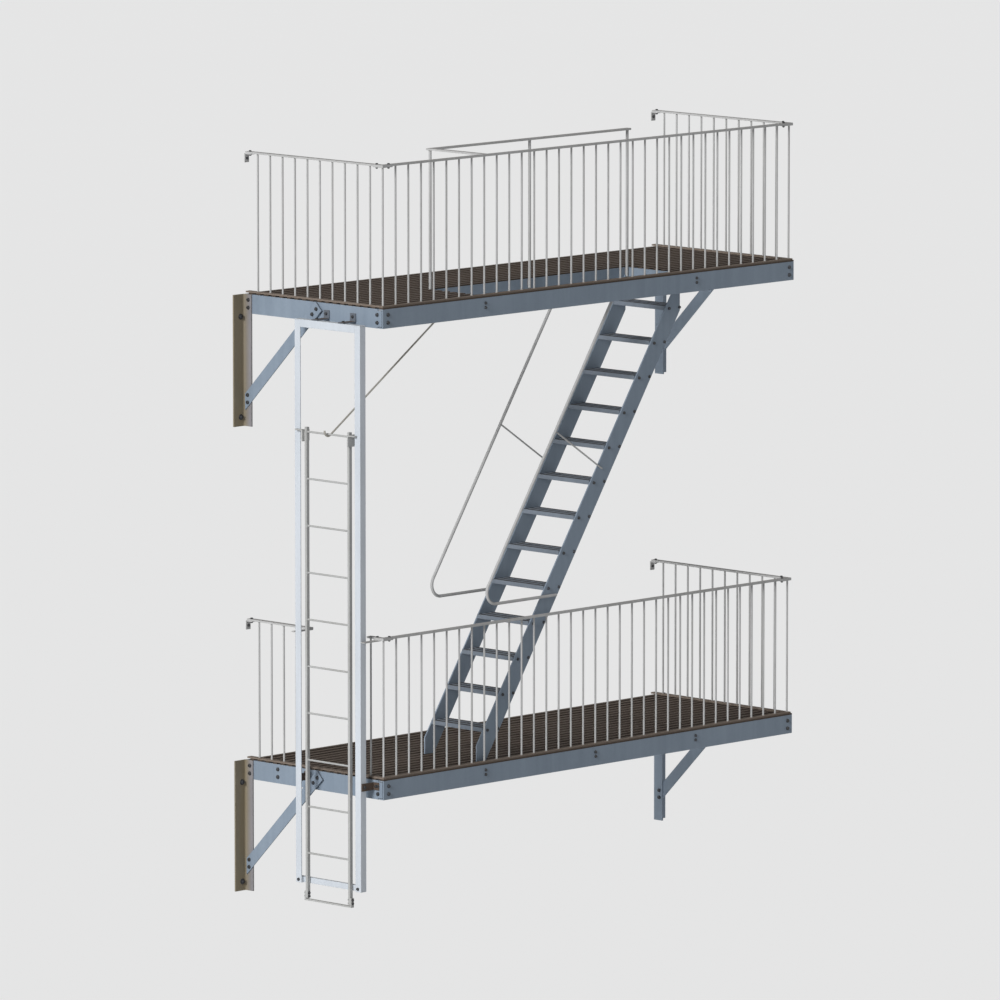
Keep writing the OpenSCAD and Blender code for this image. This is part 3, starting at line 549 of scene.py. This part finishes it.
class Kit:
    """Collects the faces of one piece and turns them into an object."""

    def __init__(self, name: str) -> None:
        """Starts an empty piece with a name."""
        self.name = name
        self.mesh = bmesh.new()

    def ring(self, centre: Vector, u: Vector, v: Vector, radii: Radii, sides: int) -> Points:
        """Adds a ring of points.

        Args:
            centre: Middle of the ring.
            u: First direction across it.
            v: Second direction across it.
            radii: One radius, or one for each point.
            sides: Number of points.

        Returns:
            The points, or a single one where the radius is nothing.
        """
        if radii == 0:
            return [self.mesh.verts.new(centre)]
        sizes = [radii] * sides if isinstance(radii, (int, float)) else radii
        turns = [math.tau * i / sides for i in range(sides)]
        return [self.mesh.verts.new(centre + (u * math.cos(a) + v * math.sin(a)) * r) for a, r in zip(turns, sizes)]

    def bridge(self, low: Points, high: Points) -> None:
        """Joins two rings with faces.

        Args:
            low: The first ring.
            high: The second ring.
        """
        count = max(len(low), len(high))
        for i in range(count):
            j = (i + 1) % count
            corners = [low[i % len(low)], low[j % len(low)], high[j % len(high)], high[i % len(high)]]
            self.mesh.faces.new(list(dict.fromkeys(corners)))

    def turn(
        self, point: Vector, way: Vector, profile: Sequence[tuple[Radii, float]], sides: int, hollow: bool = False,
    ) -> None:
        """Adds a turned form.

        Args:
            point: Start of its axis.
            way: Direction of its axis.
            profile: Radius and height of each ring, from the foot up.
            sides: Number of points in a ring.
            hollow: Whether the last ring joins the first, around a bar.
        """
        w = way.normalized()
        u = (UP if abs(w.z) < UPRIGHT else RIGHT).cross(w).normalized()
        v = w.cross(u)
        rings = [self.ring(point + w * high, u, v, radii, sides) for radii, high in profile]
        for low, high in zip(rings, rings[1:]):
            self.bridge(low, high)
        if hollow:
            self.bridge(rings[-1], rings[0])

    def washer(self, point: Vector, way: Vector, size: BoltSize) -> None:
        """Adds a washer that lies on a face.

        Args:
            point: Middle of the washer on the face.
            way: Direction out of the face.
            size: Sizes of the bolt.
        """
        r, h = size.washer, size.plate
        cut = h * WASHER_CUT
        self.turn(point, way, [(0, 0), (r, 0), (r, h - cut), (r - cut, h), (0, h)], RING_SIDES)

    def hexagon(self, point: Vector, way: Vector, flats: float, high: float) -> None:
        """Adds a six-sided head or nut with its corners turned off.

        Args:
            point: Middle of its foot.
            way: Direction out of the face.
            flats: Width across the flats.
            high: Height.
        """
        six = [flats / math.sqrt(3) if i % 2 == 0 else flats / 2 for i in range(HEAD_SIDES)]
        rim = [min(r, flats * HEAD_RIM) for r in six]
        start, end, shoulder = (high * share for share in HEAD_STEPS)
        steps = [(0, 0), (rim, 0), (six, start), (six, end), (rim, shoulder), (flats * HEAD_CROWN, high), (0, high)]
        self.turn(point, way, steps, HEAD_SIDES)

    def bolt(self, point: Vector, way: Vector, grip: float, size: BoltSize) -> None:
        """Adds a bolt through plates, with washers and a nut on the far face.

        Args:
            point: Place of the head on the near face.
            way: Direction out of the near face.
            grip: Thickness of what it clamps, or 0 for the head alone.
            size: Sizes of the bolt.
        """
        w = way.normalized()
        self.washer(point, w, size)
        self.hexagon(point + w * size.plate, w, size.flats, size.head)
        if grip:
            far = point - w * grip
            self.washer(far, -w, size)
            self.stud_nut(far - w * size.plate, -w, size)

    def stud_nut(self, point: Vector, way: Vector, size: BoltSize) -> None:
        """Adds a nut with the end of its thread.

        Args:
            point: Foot of the nut.
            way: Direction out of the face.
            size: Sizes of the bolt.
        """
        w = way.normalized()
        self.hexagon(point, w, size.flats, size.nut)
        r, base = size.shank, size.nut - THREAD_START
        end, run = base + size.tail, size.tail - THREAD_POINT
        steps: list[tuple[Radii, float]] = [(0, base), (r, base)]
        threads = max(2, round(size.tail / THREAD_PITCH))
        for i in range(threads):
            at = base + run * (i + 0.5) / threads
            steps += [(r * THREAD_ROOT, at), (r, at + run * 0.5 / threads)]
        steps += [(r * THREAD_TIP, end), (0, end)]
        self.turn(point, w, steps, HEAD_SIDES)

    def collar(self, point: Vector, way: Vector, radius: float, size: float) -> None:
        """Adds a rippled weld bead around a round bar that stands on a face.

        Args:
            point: Middle of the bar on the face.
            way: Direction of the bar.
            radius: Radius of the bar.
            size: Leg of the bead.
        """
        reach, mid = WELD.belly
        ripple = [1.0 + WELD.ripple * math.sin(i * WELD.collar_turn) for i in range(RING_SIDES)]
        foot = [radius + size * r for r in ripple]
        belly = [radius + size * reach * r for r in ripple]
        inner = radius * WELD.inside
        steps = [(inner, 0.0), (foot, 0.0), (belly, size * mid), (inner, size * WELD.crest)]
        self.turn(point, way, steps, RING_SIDES, hollow=True)

    def bead(self, start: Vector, end: Vector, out: Vector, size: float) -> None:
        """Adds a straight rippled weld bead in a corner.

        Args:
            start: First end of the corner.
            end: Second end of the corner.
            out: Direction out of the corner, between its two faces.
            size: Leg of the bead.
        """
        run = end - start
        steps = max(WELD.least_steps, round(run.length / WELD.pitch))
        w, o = run.normalized(), out.normalized()
        side = w.cross(o)
        rows: list[Points] = []
        for i in range(steps + 1):
            ripple = WELD.middle + WELD.ripple * math.sin(i * WELD.bead_turn)
            r = size * ripple * (WELD.tip if i in (0, steps) else 1.0)
            rows.append(self.ring(start + run * (i / steps), o, side, r, WELD.sides))
        for low, high in zip(rows, rows[1:]):
            self.bridge(low, high)
        self.mesh.faces.new(rows[0])
        self.mesh.faces.new(rows[-1])

    def done(self, finish: Paint, body: Body) -> None:
        """Turns the collected faces into a piece.

        Args:
            finish: Its finish.
            body: The body that it rides on.
        """
        bmesh.ops.recalc_face_normals(self.mesh, faces=self.mesh.faces)
        data = bpy.data.meshes.new(self.name)
        self.mesh.to_mesh(data)
        self.mesh.free()
        data.polygons.foreach_set("use_smooth", [True] * len(data.polygons))
        data.set_sharp_from_angle(angle=SHARP_ANGLE)
        data.materials.append(finish.material())
        piece = bpy.data.objects.new(self.name, data)
        bpy.context.scene.collection.objects.link(piece)
        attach(piece, body.value)
        LOG.info("%s: %d faces on %s", self.name, len(data.polygons), body.value)


def dress(finish: Paint, *nodes: str) -> None:
    """Gives solids a finish.

    Args:
        finish: The finish.
        nodes: Names of the solids.
    """
    for name in nodes:
        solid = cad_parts[name]
        solid.data.materials.clear()
        solid.data.materials.append(finish.material())
        LOG.info("%s: %s", name, finish.name)


def ease(edge: Edge, *nodes: str) -> None:
    """Rounds the edges of solids as rolled steel has them.

    Args:
        edge: The kind of edge.
        nodes: Names of the solids.
    """
    for name in nodes:
        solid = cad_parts[name]
        weld = solid.modifiers.new("joined_points", "WELD")
        weld.merge_threshold = SAME_POINT
        soft = solid.modifiers.new("rolled_edges", "BEVEL")
        soft.width = edge.value
        soft.segments = 2
        soft.limit_method = "ANGLE"
        soft.angle_limit = ROUND_ANGLE
        soft.use_clamp_overlap = False
        soft.harden_normals = False
        shade = solid.modifiers.new("even_faces", "WEIGHTED_NORMAL")
        shade.keep_sharp = False


@dataclass
class WallPosts:
    """The four wall angles with their braces.

    Attributes:
        face: Left face of the left out leg.
        brace_face: Left face of the left brace.
        anchor_x: Place of the wall anchors along the balcony.
        anchor_drops: Depths of the wall anchors below the beams.
        leg_face: Street face of the wall leg.
        bolt_y: Distance of the out-leg bolts from the wall.
        top_drops: Depths of the bolts into the end beam.
        foot_drops: Depths of the bolts at the foot of the brace.
        head: Place of the bolts at the head of the brace, from the wall and below the beams.
        head_gap: Half the step between those bolts along each direction.
        grip: Thickness that the bolts at the foot and in the end beam clamp.
        head_grip: Thickness that the bolts at the head clamp.
    """

    face: float = 0.0415
    brace_face: float = 0.0335
    anchor_x: float = 0.010
    anchor_drops: Span = (0.145, 0.800)
    leg_face: float = -0.0095
    bolt_y: float = -0.050
    top_drops: Span = (0.035, 0.086)
    foot_drops: Span = (0.654, 0.702)
    head: Span = (-0.664, 0.061)
    head_gap: float = 0.0184
    grip: float = 0.0175
    head_grip: float = 0.0255

    def build(self) -> None:
        """Adds the wall anchors and the bolts of the posts and braces."""
        anchors = Kit("wall_anchor_bolts")
        bolts = Kit("post_and_brace_bolts")
        for level in Level:
            for side in Side:
                top, way, brace = level.top, side.way(), side.x(self.brace_face)
                for drop in self.anchor_drops:
                    anchors.bolt(Vector((side.x(self.anchor_x), self.leg_face, top - drop)), STREET, 0.0, WALL_BOLT)
                for drop in self.top_drops:
                    bolts.bolt(Vector((side.x(self.face), self.bolt_y, top - drop)), way, self.grip, BEAM_BOLT)
                for drop in self.foot_drops:
                    bolts.bolt(Vector((brace, self.bolt_y, top - drop)), way, self.grip, BEAM_BOLT)
                y, drop = self.head
                for step in (-self.head_gap, self.head_gap):
                    bolts.bolt(Vector((brace, y - step, top - drop + step)), way, self.head_grip, BEAM_BOLT)
        anchors.done(BOLT, Body.FIXED)
        bolts.done(BOLT, Body.FIXED)

    def dress(self) -> None:
        """Gives the posts and braces their finish."""
        dress(POST, "lower_left_post", "upper_left_post")
        dress(BEAM, "lower_right_post", "upper_right_post", "lower_braces", "upper_braces")
        ease(Edge.BAR, "lower_braces", "upper_braces")


@dataclass
class Balcony:
    """One balcony: beams, joists, slats and guards.

    Attributes:
        level: Which balcony it is.
        corner_x: Place of the corner bolts on the front channel, from the left.
        corner_y: Place of the corner bolts on the end beam.
        corner_drops: Depths of the corner bolts below the top of the beams.
        joist_xs: Places of the joist bolts on the front channel.
        joist_drops: Depths of the joist bolts.
        cut_joist: Which of the joists the stair well leaves out, on the upper balcony.
        rear_y: Place of the rear beam's bolts on the end beam.
        rear_drops: Depths of the rear beam's bolts.
        grip: Thickness that the bolts of the beams clamp.
        rail_mid: Distance of the middle of a guard from the edge of the balcony.
        rail_top: Height of the top of a top rail above the beams.
        fitting: Thickness of the plates and clips under it.
        corner_step: Distance of the rail corner's bolts from the edge of the balcony.
        clip_y: Distance from the wall of the bolt through a wall clip.
        clip_drop: Depth of a wall clip's screw below the clip.
        bar: Radius of a baluster.
        front_count: Number of spaces in the front guard.
        end_first: Distance of the first end baluster from the wall.
        end_count: Number of spaces in an end guard.
        ladder_gap: Which of its balusters the way to the ladder leaves out, on the lower balcony.
    """

    level: Level
    corner_x: float = 0.096
    corner_y: float = -1.220
    corner_drops: Span = (0.0375, 0.0885)
    joist_xs: tuple[float, ...] = (0.987, 2.015, 2.970)
    joist_drops: Span = (0.0355, 0.0645)
    cut_joist: int = 1
    rear_y: float = -0.302
    rear_drops: Span = (0.032, 0.083)
    grip: float = 0.014
    rail_mid: float = 0.025
    rail_top: float = 0.9245
    fitting: float = 0.006
    corner_step: float = 0.078
    clip_y: float = -0.036
    clip_drop: float = 0.027
    bar: float = 0.00635
    front_count: int = 33
    end_first: float = 0.106
    end_count: int = 10
    ladder_gap: range = range(4, 9)

    def posts(self) -> list[Span]:
        """Lists the places of the balusters.

        Returns:
            Their places along and across the balcony.
        """
        first, last = LEFT_END + self.rail_mid, RIGHT_SUM - LEFT_END - self.rail_mid
        front = FRONT + self.rail_mid
        places = [(first + (last - first) * i / self.front_count, front) for i in range(self.front_count + 1)]
        step = (-front - self.end_first) / self.end_count
        ends = [-self.end_first - step * i for i in range(self.end_count)]
        gap = self.ladder_gap if self.level is Level.LOWER else ()
        places += [(first, y) for i, y in enumerate(ends) if i not in gap]
        return places + [(last, y) for y in ends]

    def build(self) -> None:
        """Adds the bolts of the beams and rails and the weld beads of the guards."""
        self.build_beam_bolts()
        self.build_rail_bolts()
        welds = Kit(f"{self.level.value}_baluster_welds")
        for x, y in self.posts():
            welds.collar(Vector((x, y, self.level.top + SOLE_TOP)), UP, self.bar, WELD.leg)
            welds.collar(Vector((x, y, self.level.top + RAIL_FOOT)), DOWN, self.bar, WELD.leg)
        welds.done(LOW_RAIL if self.level is Level.LOWER else HIGH_RAIL, Body.FIXED)

    def build_beam_bolts(self) -> None:
        """Adds the bolts of the front channel, the end beams and the rear beam."""
        top = self.level.top
        bolts = Kit(f"{self.level.value}_beam_bolts")
        for side in Side:
            end, way = side.x(LEFT_END), side.way()
            for drop in self.corner_drops:
                bolts.bolt(Vector((side.x(self.corner_x), FRONT, top - drop)), STREET, self.grip, BEAM_BOLT)
                bolts.bolt(Vector((end, self.corner_y, top - drop)), way, self.grip, BEAM_BOLT)
            for drop in self.rear_drops if self.level is Level.LOWER else ():
                bolts.bolt(Vector((end, self.rear_y, top - drop)), way, self.grip, BEAM_BOLT)
        for i, x in enumerate(self.joist_xs):
            if self.level is Level.UPPER and i == self.cut_joist:
                continue
            for drop in self.joist_drops:
                bolts.bolt(Vector((x, FRONT, top - drop)), STREET, self.grip, TREAD_BOLT)
        bolts.done(BOLT, Body.FIXED)

    def build_rail_bolts(self) -> None:
        """Adds the bolts through the rail corners and the wall clips, and the screws of the clips."""
        top, foot = self.level.top + self.rail_top, self.level.top + RAIL_FOOT - self.fitting
        bolts = Kit(f"{self.level.value}_rail_bolts")
        for side in Side:
            x = side.x(LEFT_END + self.rail_mid)
            places = [(side.x(LEFT_END + self.corner_step), FRONT + self.rail_mid)]
            places += [(x, FRONT + self.corner_step), (x, self.clip_y)]
            for at in places:
                bolts.bolt(Vector((*at, top)), UP, top - foot, SMALL_BOLT)
            bolts.bolt(Vector((x, -self.fitting, foot - self.clip_drop)), STREET, 0.0, SMALL_BOLT)
        bolts.done(BOLT, Body.FIXED)

    def dress(self) -> None:
        """Gives the balcony's solids their finishes."""
        tag = self.level.value
        beams = [f"{tag}_{part}" for part in ("front_channel", "end_beams", "rear_beam", "joists", "cleats")]
        dress(BEAM, *beams)
        ease(Edge.CHANNEL, f"{tag}_front_channel")
        dress(DECK, f"{tag}_slats")
        ease(Edge.THIN, f"{tag}_slats")
        guards = [f"{tag}_front_guard", f"{tag}_right_guard", f"{tag}_rail_fittings"]
        if self.level is Level.LOWER:
            guards += ["lower_left_guard_rear", "lower_left_guard_front", "lower_left_sole"]
            dress(LOW_RAIL, *guards)
        else:
            dress(HIGH_RAIL, *guards, "upper_left_guard")


@dataclass
class StairWell:
    """The bars and the guard around the opening in the upper balcony.

    Attributes:
        post_xs: Places of the guard posts.
        post_y: Distance of the guard posts from the wall.
        post_r: Radius of a post.
        bar_face: Well face of the back bar.
        bead_off: Distance of a bead from the middle of its post, as a share of the post's radius.
        bead_drop: Depth of the foot of the beads below the beams.
        bead_long: Length of the beads.
    """

    post_xs: tuple[float, ...] = (1.0285, 1.952, 2.8755)
    post_y: float = -0.7265
    post_r: float = 0.0095
    bar_face: float = -0.717
    bead_off: float = 0.5
    bead_drop: float = 0.056
    bead_long: float = 0.050

    def build(self) -> None:
        """Adds the weld beads of the guard posts."""
        top = Level.UPPER.top
        welds = Kit("well_post_welds")
        for x in self.post_xs:
            welds.collar(Vector((x, self.post_y, top + RAIL_FOOT)), DOWN, self.post_r, WELD.heavy_leg)
            for s in (-1, 1):
                start = Vector((x + s * self.post_r * self.bead_off, self.bar_face, top - self.bead_drop))
                welds.bead(start, start + UP * self.bead_long, Vector((s, -1, 0)), WELD.heavy_leg)
        welds.done(HIGH_RAIL, Body.FIXED)

    def dress(self) -> None:
        """Gives the bars and the guard their finishes."""
        dress(BEAM, "well_back_trimmer", "well_end_trimmer")
        dress(HAND, "well_guard")
        ease(Edge.BAR, "well_back_trimmer", "well_end_trimmer")


@dataclass
class Stair:
    """The stringers, treads and handrails.

    Attributes:
        treads: Number of treads.
        first_x: Front edge of the first tread.
        going: Step from tread to tread.
        rise: Height from tread to tread.
        slat_top: Height of the walking face of the lower balcony above its beams.
        bolt_backs: Distances of the tread bolts behind the front edge.
        bolt_drop: Depth of the tread bolts below the tread.
        outer_faces: Outer faces of the front and the back stringer.
        grip: Thickness that a tread bolt clamps.
    """

    treads: int = 13
    first_x: float = 1.0338
    going: float = 0.1424
    rise: float = 0.217714
    slat_top: float = 0.0095
    bolt_backs: Span = (0.038, 0.136)
    bolt_drop: float = 0.0185
    outer_faces: Span = (-1.200, -0.7175)
    grip: float = 0.0175

    def build(self) -> None:
        """Adds the tread bolts."""
        foot = Level.LOWER.top + self.slat_top
        bolts = Kit("tread_bolts")
        for i in range(self.treads):
            for back in self.bolt_backs:
                x = self.first_x + self.going * i + back
                z = foot + self.rise * (i + 1) - self.bolt_drop
                for y, way in zip(self.outer_faces, (STREET, WALL)):
                    bolts.bolt(Vector((x, y, z)), way, self.grip, TREAD_BOLT)
        bolts.done(BOLT, Body.FIXED)

    def dress(self) -> None:
        """Gives the stair its finishes."""
        dress(BEAM, "stair_front_stringer", "stair_back_stringer")
        dress(TREAD, "stair_treads")
        dress(HAND, "stair_front_handrail", "stair_back_handrail")
        ease(Edge.STRINGER, "stair_front_stringer", "stair_back_stringer")
        ease(Edge.THIN, "stair_treads")


@dataclass
class GuideFrame:
    """The frame that the drop ladder runs on.

    Attributes:
        rows: Place, direction, grip and size of each bolt: two at the foot of the frame, two in each hanger, two in
            the stiles at the standoffs, and two from there into the lower end beam.
    """

    rows: tuple[tuple[Place, Vector, float, BoltSize], ...] = (
        ((-0.068, -0.6115, -0.2725), LEFT, 0.031, TREAD_BOLT),
        ((-0.068, -1.1545, -0.2725), LEFT, 0.031, TREAD_BOLT),
        ((0.043, -0.7641, 3.412), LEFT, 0.016, TREAD_BOLT),
        ((-0.043, -0.7641, 3.383), UP, 0.014, TREAD_BOLT),
        ((0.043, -1.0041, 3.412), LEFT, 0.016, TREAD_BOLT),
        ((-0.043, -1.0041, 3.383), UP, 0.014, TREAD_BOLT),
        ((-0.040, -0.5985, 0.390), STREET, 0.012, TREAD_BOLT),
        ((-0.040, -1.1875, 0.390), STREET, 0.012, TREAD_BOLT),
        ((0.045, -0.570, 0.390), LEFT, 0.014, TREAD_BOLT),
        ((0.045, -1.206, 0.390), LEFT, 0.014, SMALL_BOLT),
    )

    def build(self) -> None:
        """Adds the bolts of the frame, its hangers and its standoffs."""
        bolts = Kit("guide_frame_bolts")
        for place, way, grip, size in self.rows:
            bolts.bolt(Vector(place), way, grip, size)
        bolts.done(BOLT, Body.FIXED)

    def dress(self) -> None:
        """Gives the frame its finish."""
        angles = ("guide_left_stile", "guide_right_stile", "guide_head", "guide_sill")
        dress(GUIDE, *angles)
        dress(SHADED_CLIP, "guide_clips")
        dress(HAND, "guide_straps")
        ease(Edge.ANGLE, *angles, "guide_clips")
        ease(Edge.THIN, "guide_straps")


@dataclass
class DropLadder:
    """The ladder that slides down to the street.

    Attributes:
        rung_x: Place of the rungs along the balcony.
        top_rung: Height of the top rung.
        step: Distance from rung to rung.
        rungs: Number of rungs.
        rung_r: Radius of a rung.
        inner_ys: Inner faces of the stiles.
        outer_ys: Outer faces of the stirrup legs.
        stirrup_zs: Heights of the stirrup bolts.
        stirrup_grip: Thickness that those bolts clamp.
        shoe_ys: Outer faces of the stiles, which the shoes lie on.
        shoe_zs: Heights of the ends of the shoe welds.
        stile_xs: Front and back faces of the stiles.
    """

    rung_x: float = -0.0605
    top_rung: float = 2.652
    step: float = 0.3048
    rungs: int = 10
    rung_r: float = 0.00635
    inner_ys: Span = (-0.6985, -1.0695)
    outer_ys: Span = (-0.6705, -1.0975)
    stirrup_zs: Span = (-0.375, -0.352)
    stirrup_grip: float = 0.028
    shoe_ys: Span = (-0.6805, -1.0875)
    shoe_zs: Span = (2.594, 2.652)
    stile_xs: Span = (-0.073, -0.048)

    def build(self) -> None:
        """Adds the weld beads of the rungs and shoes and the bolts of the stirrup."""
        welds = Kit("rung_welds")
        for i in range(self.rungs):
            z = self.top_rung - self.step * i
            for y, way in zip(self.inner_ys, (STREET, WALL)):
                welds.collar(Vector((self.rung_x, y, z)), way, self.rung_r, WELD.leg)
        low, high = self.shoe_zs
        for y, way in zip(self.shoe_ys, (WALL, STREET)):
            for x, s in zip(self.stile_xs, (-1, 1)):
                welds.bead(Vector((x, y, low)), Vector((x, y, high)), Vector((s, -way.y, 0)), WELD.leg)
        welds.done(LADDER, Body.LADDER)
        bolts = Kit("ladder_bolts")
        for y, way in zip(self.outer_ys, (WALL, STREET)):
            for z in self.stirrup_zs:
                bolts.bolt(Vector((self.rung_x, y, z)), way, self.stirrup_grip, SMALL_BOLT)
        bolts.done(BOLT, Body.LADDER)

    def dress(self) -> None:
        """Gives the ladder its finish."""
        dress(LADDER, "ladder_stiles", "ladder_rungs", "ladder_stirrup", "ladder_shoes")
        ease(Edge.BAR, "ladder_stiles", "ladder_stirrup", "ladder_shoes")


@dataclass
class HoldHook:
    """The rod that holds the ladder up, and its bracket.

    Attributes:
        pin: Middle of the pin.
        half: Half the length of the pin.
        pin_head: Radius and height of each ring of a pin's head.
        plate_top: Height of the top of the bracket.
        bar_half: Half the thickness of the bar that the bracket is welded under.
    """

    pin: Place = (1.01275, -0.884, 3.366)
    half: float = 0.016
    pin_head: tuple[Span, ...] = ((0, 0), (0.011, 0), (0.011, 0.0015), (0.0085, 0.005), (0.004, 0.0062), (0, 0.0065))
    plate_top: float = 3.402
    bar_half: float = 0.00325

    def build(self) -> None:
        """Adds the heads of the pin and the weld beads of the bracket."""
        x, y, z = self.pin
        ends = Kit("hook_pin_ends")
        for way in (STREET, WALL):
            ends.turn(Vector((x, y + way.y * self.half, z)), way, self.pin_head, RING_SIDES)
        ends.done(BOLT, Body.FIXED)
        welds = Kit("hook_bracket_welds")
        for s in (-1, 1):
            start = Vector((x - self.bar_half * s, y - self.half, self.plate_top))
            welds.bead(start, start + WALL * 2 * self.half, Vector((-s, 0, 1)), WELD.heavy_leg)
        welds.done(BEAM, Body.FIXED)

    def dress(self) -> None:
        """Gives the rod and its bracket their finishes."""
        dress(ROD, "hook_rod")
        dress(BEAM, "hook_bracket")


@dataclass
class Studio:
    """The floor, the light and the camera.

    Attributes:
        floor_z: Height of the floor.
        floor_half: Half the width of the floor.
        floor_tone: Colour of the floor and the backdrop.
        floor_shade: Brightness of the floor's darker patches, as a share of that colour.
        floor_noise: Repeats in a metre and octaves of those patches.
        floor_rough: Roughness of the floor.
        floor_lift: Share of the floor's own colour that the camera sees without shade.
        sky: Colour of the light from all around.
        fill: Strength of that light.
        backdrop: Strength of the backdrop.
        key: Strength of the main lamp.
        key_from: Direction of the main lamp.
        key_spread: Angle that the main lamp covers, in degrees.
        azimuth: Direction of the camera, in degrees.
        elevation: Height of the camera, in degrees.
        target: Point that the camera looks at.
        distance: Distance of the camera from that point.
        lens: Focal length in millimetres.
        sensor: Width of the camera's film in millimetres.
        sight: Nearest and farthest distance that the camera shows.
    """

    floor_z: float = -3.30
    floor_half: float = 500.0
    floor_tone: Colour = (0.95, 0.95, 0.95)
    floor_shade: float = 0.97
    floor_noise: Span = (0.4, 3.0)
    floor_rough: float = 0.9
    floor_lift: float = 0.75
    sky: Colour = (0.96, 0.98, 1.0)
    fill: float = 0.18
    backdrop: float = 0.87
    key: float = 2.3
    key_from: Place = (-0.89, -0.12, 0.44)
    key_spread: float = 20.0
    azimuth: float = -45.635
    elevation: float = 7.758
    target: Place = (1.8047, -0.600, 2.0179)
    distance: float = 67.926
    lens: float = 372.546
    sensor: float = 36.0
    sight: Span = (1.0, 2000.0)

    def build(self) -> None:
        """Sets up the floor, the light, the sky and the camera."""
        self.build_floor()
        self.build_sky()
        lamp = bpy.data.lights.new("key_lamp", "SUN")
        lamp.energy = self.key
        lamp.angle = math.radians(self.key_spread)
        key = bpy.data.objects.new("key_lamp", lamp)
        bpy.context.scene.collection.objects.link(key)
        key.rotation_mode = "QUATERNION"
        key.rotation_quaternion = (-Vector(self.key_from)).to_track_quat("-Z", "Y")
        self.build_camera()
        bpy.context.scene.view_settings.view_transform = "Standard"

    def build_floor(self) -> None:
        """Adds the plain pale floor, which is clear when seen from below."""
        shape = bmesh.new()
        h = self.floor_half
        corners = [shape.verts.new((x * h, y * h, self.floor_z)) for x, y in ((-1, -1), (1, -1), (1, 1), (-1, 1))]
        shape.faces.new(corners)
        data = bpy.data.meshes.new("floor")
        shape.to_mesh(data)
        shape.free()
        look = bpy.data.materials.new("floor_tone")
        n = Nodes(look)
        where = n.add("ShaderNodeTexCoord")["Object"]
        tone = linear(self.floor_tone)
        dark = (*(c * self.floor_shade for c in tone[:3]), 1.0)
        colour = n.mix(n.noise(where, *self.floor_noise), dark, tone)
        matt = n.add("ShaderNodeBsdfPrincipled", {"Base Color": colour, "Roughness": self.floor_rough})[0]
        plain = n.add("ShaderNodeEmission", {"Color": tone})[0]
        lifted = n.mix_shaders(n.maths("MULTIPLY", n.seen(), self.floor_lift), matt, plain)
        below = n.add("ShaderNodeNewGeometry")["Backfacing"]
        both = n.mix_shaders(below, lifted, n.add("ShaderNodeBsdfTransparent")[0])
        n.add("ShaderNodeOutputMaterial", {0: both})
        data.materials.append(look)
        floor = bpy.data.objects.new("floor", data)
        bpy.context.scene.collection.objects.link(floor)

    def build_sky(self) -> None:
        """Sets the even light from all around and the pale backdrop."""
        world = bpy.data.worlds.new("studio")
        n = Nodes(world)
        light = n.add("ShaderNodeBackground", {"Color": (*self.sky, 1.0), "Strength": self.fill})[0]
        pale = n.add("ShaderNodeBackground", {"Color": linear(self.floor_tone), "Strength": self.backdrop})[0]
        n.add("ShaderNodeOutputWorld", {0: n.mix_shaders(n.seen(), light, pale)})
        bpy.context.scene.world = world

    def build_camera(self) -> None:
        """Sets the camera at the photograph's angle."""
        a, e = math.radians(self.azimuth), math.radians(self.elevation)
        back = Vector((math.sin(a) * math.cos(e), -math.cos(a) * math.cos(e), math.sin(e)))
        data = bpy.data.cameras.new("camera")
        data.lens = self.lens
        data.sensor_width = self.sensor
        data.clip_start, data.clip_end = self.sight
        camera = bpy.data.objects.new("camera", data)
        bpy.context.scene.collection.objects.link(camera)
        camera.rotation_mode = "QUATERNION"
        camera.location = Vector(self.target) + back * self.distance
        camera.rotation_quaternion = (-back).to_track_quat("-Z", "Y")
        bpy.context.scene.camera = camera


def main() -> None:
    """Builds and dresses the sub-assemblies in order."""
    logging.basicConfig(level=logging.INFO, format="%(name)s %(message)s")
    Studio().build()
    parts = [
        WallPosts(), Balcony(Level.LOWER), Balcony(Level.UPPER), StairWell(), Stair(), GuideFrame(), DropLadder(),
        HoldHook(),
    ]
    for part in parts:
        part.build()
        part.dress()
        LOG.info("%s done", type(part).__name__)


if __name__ == "__main__":
    main()
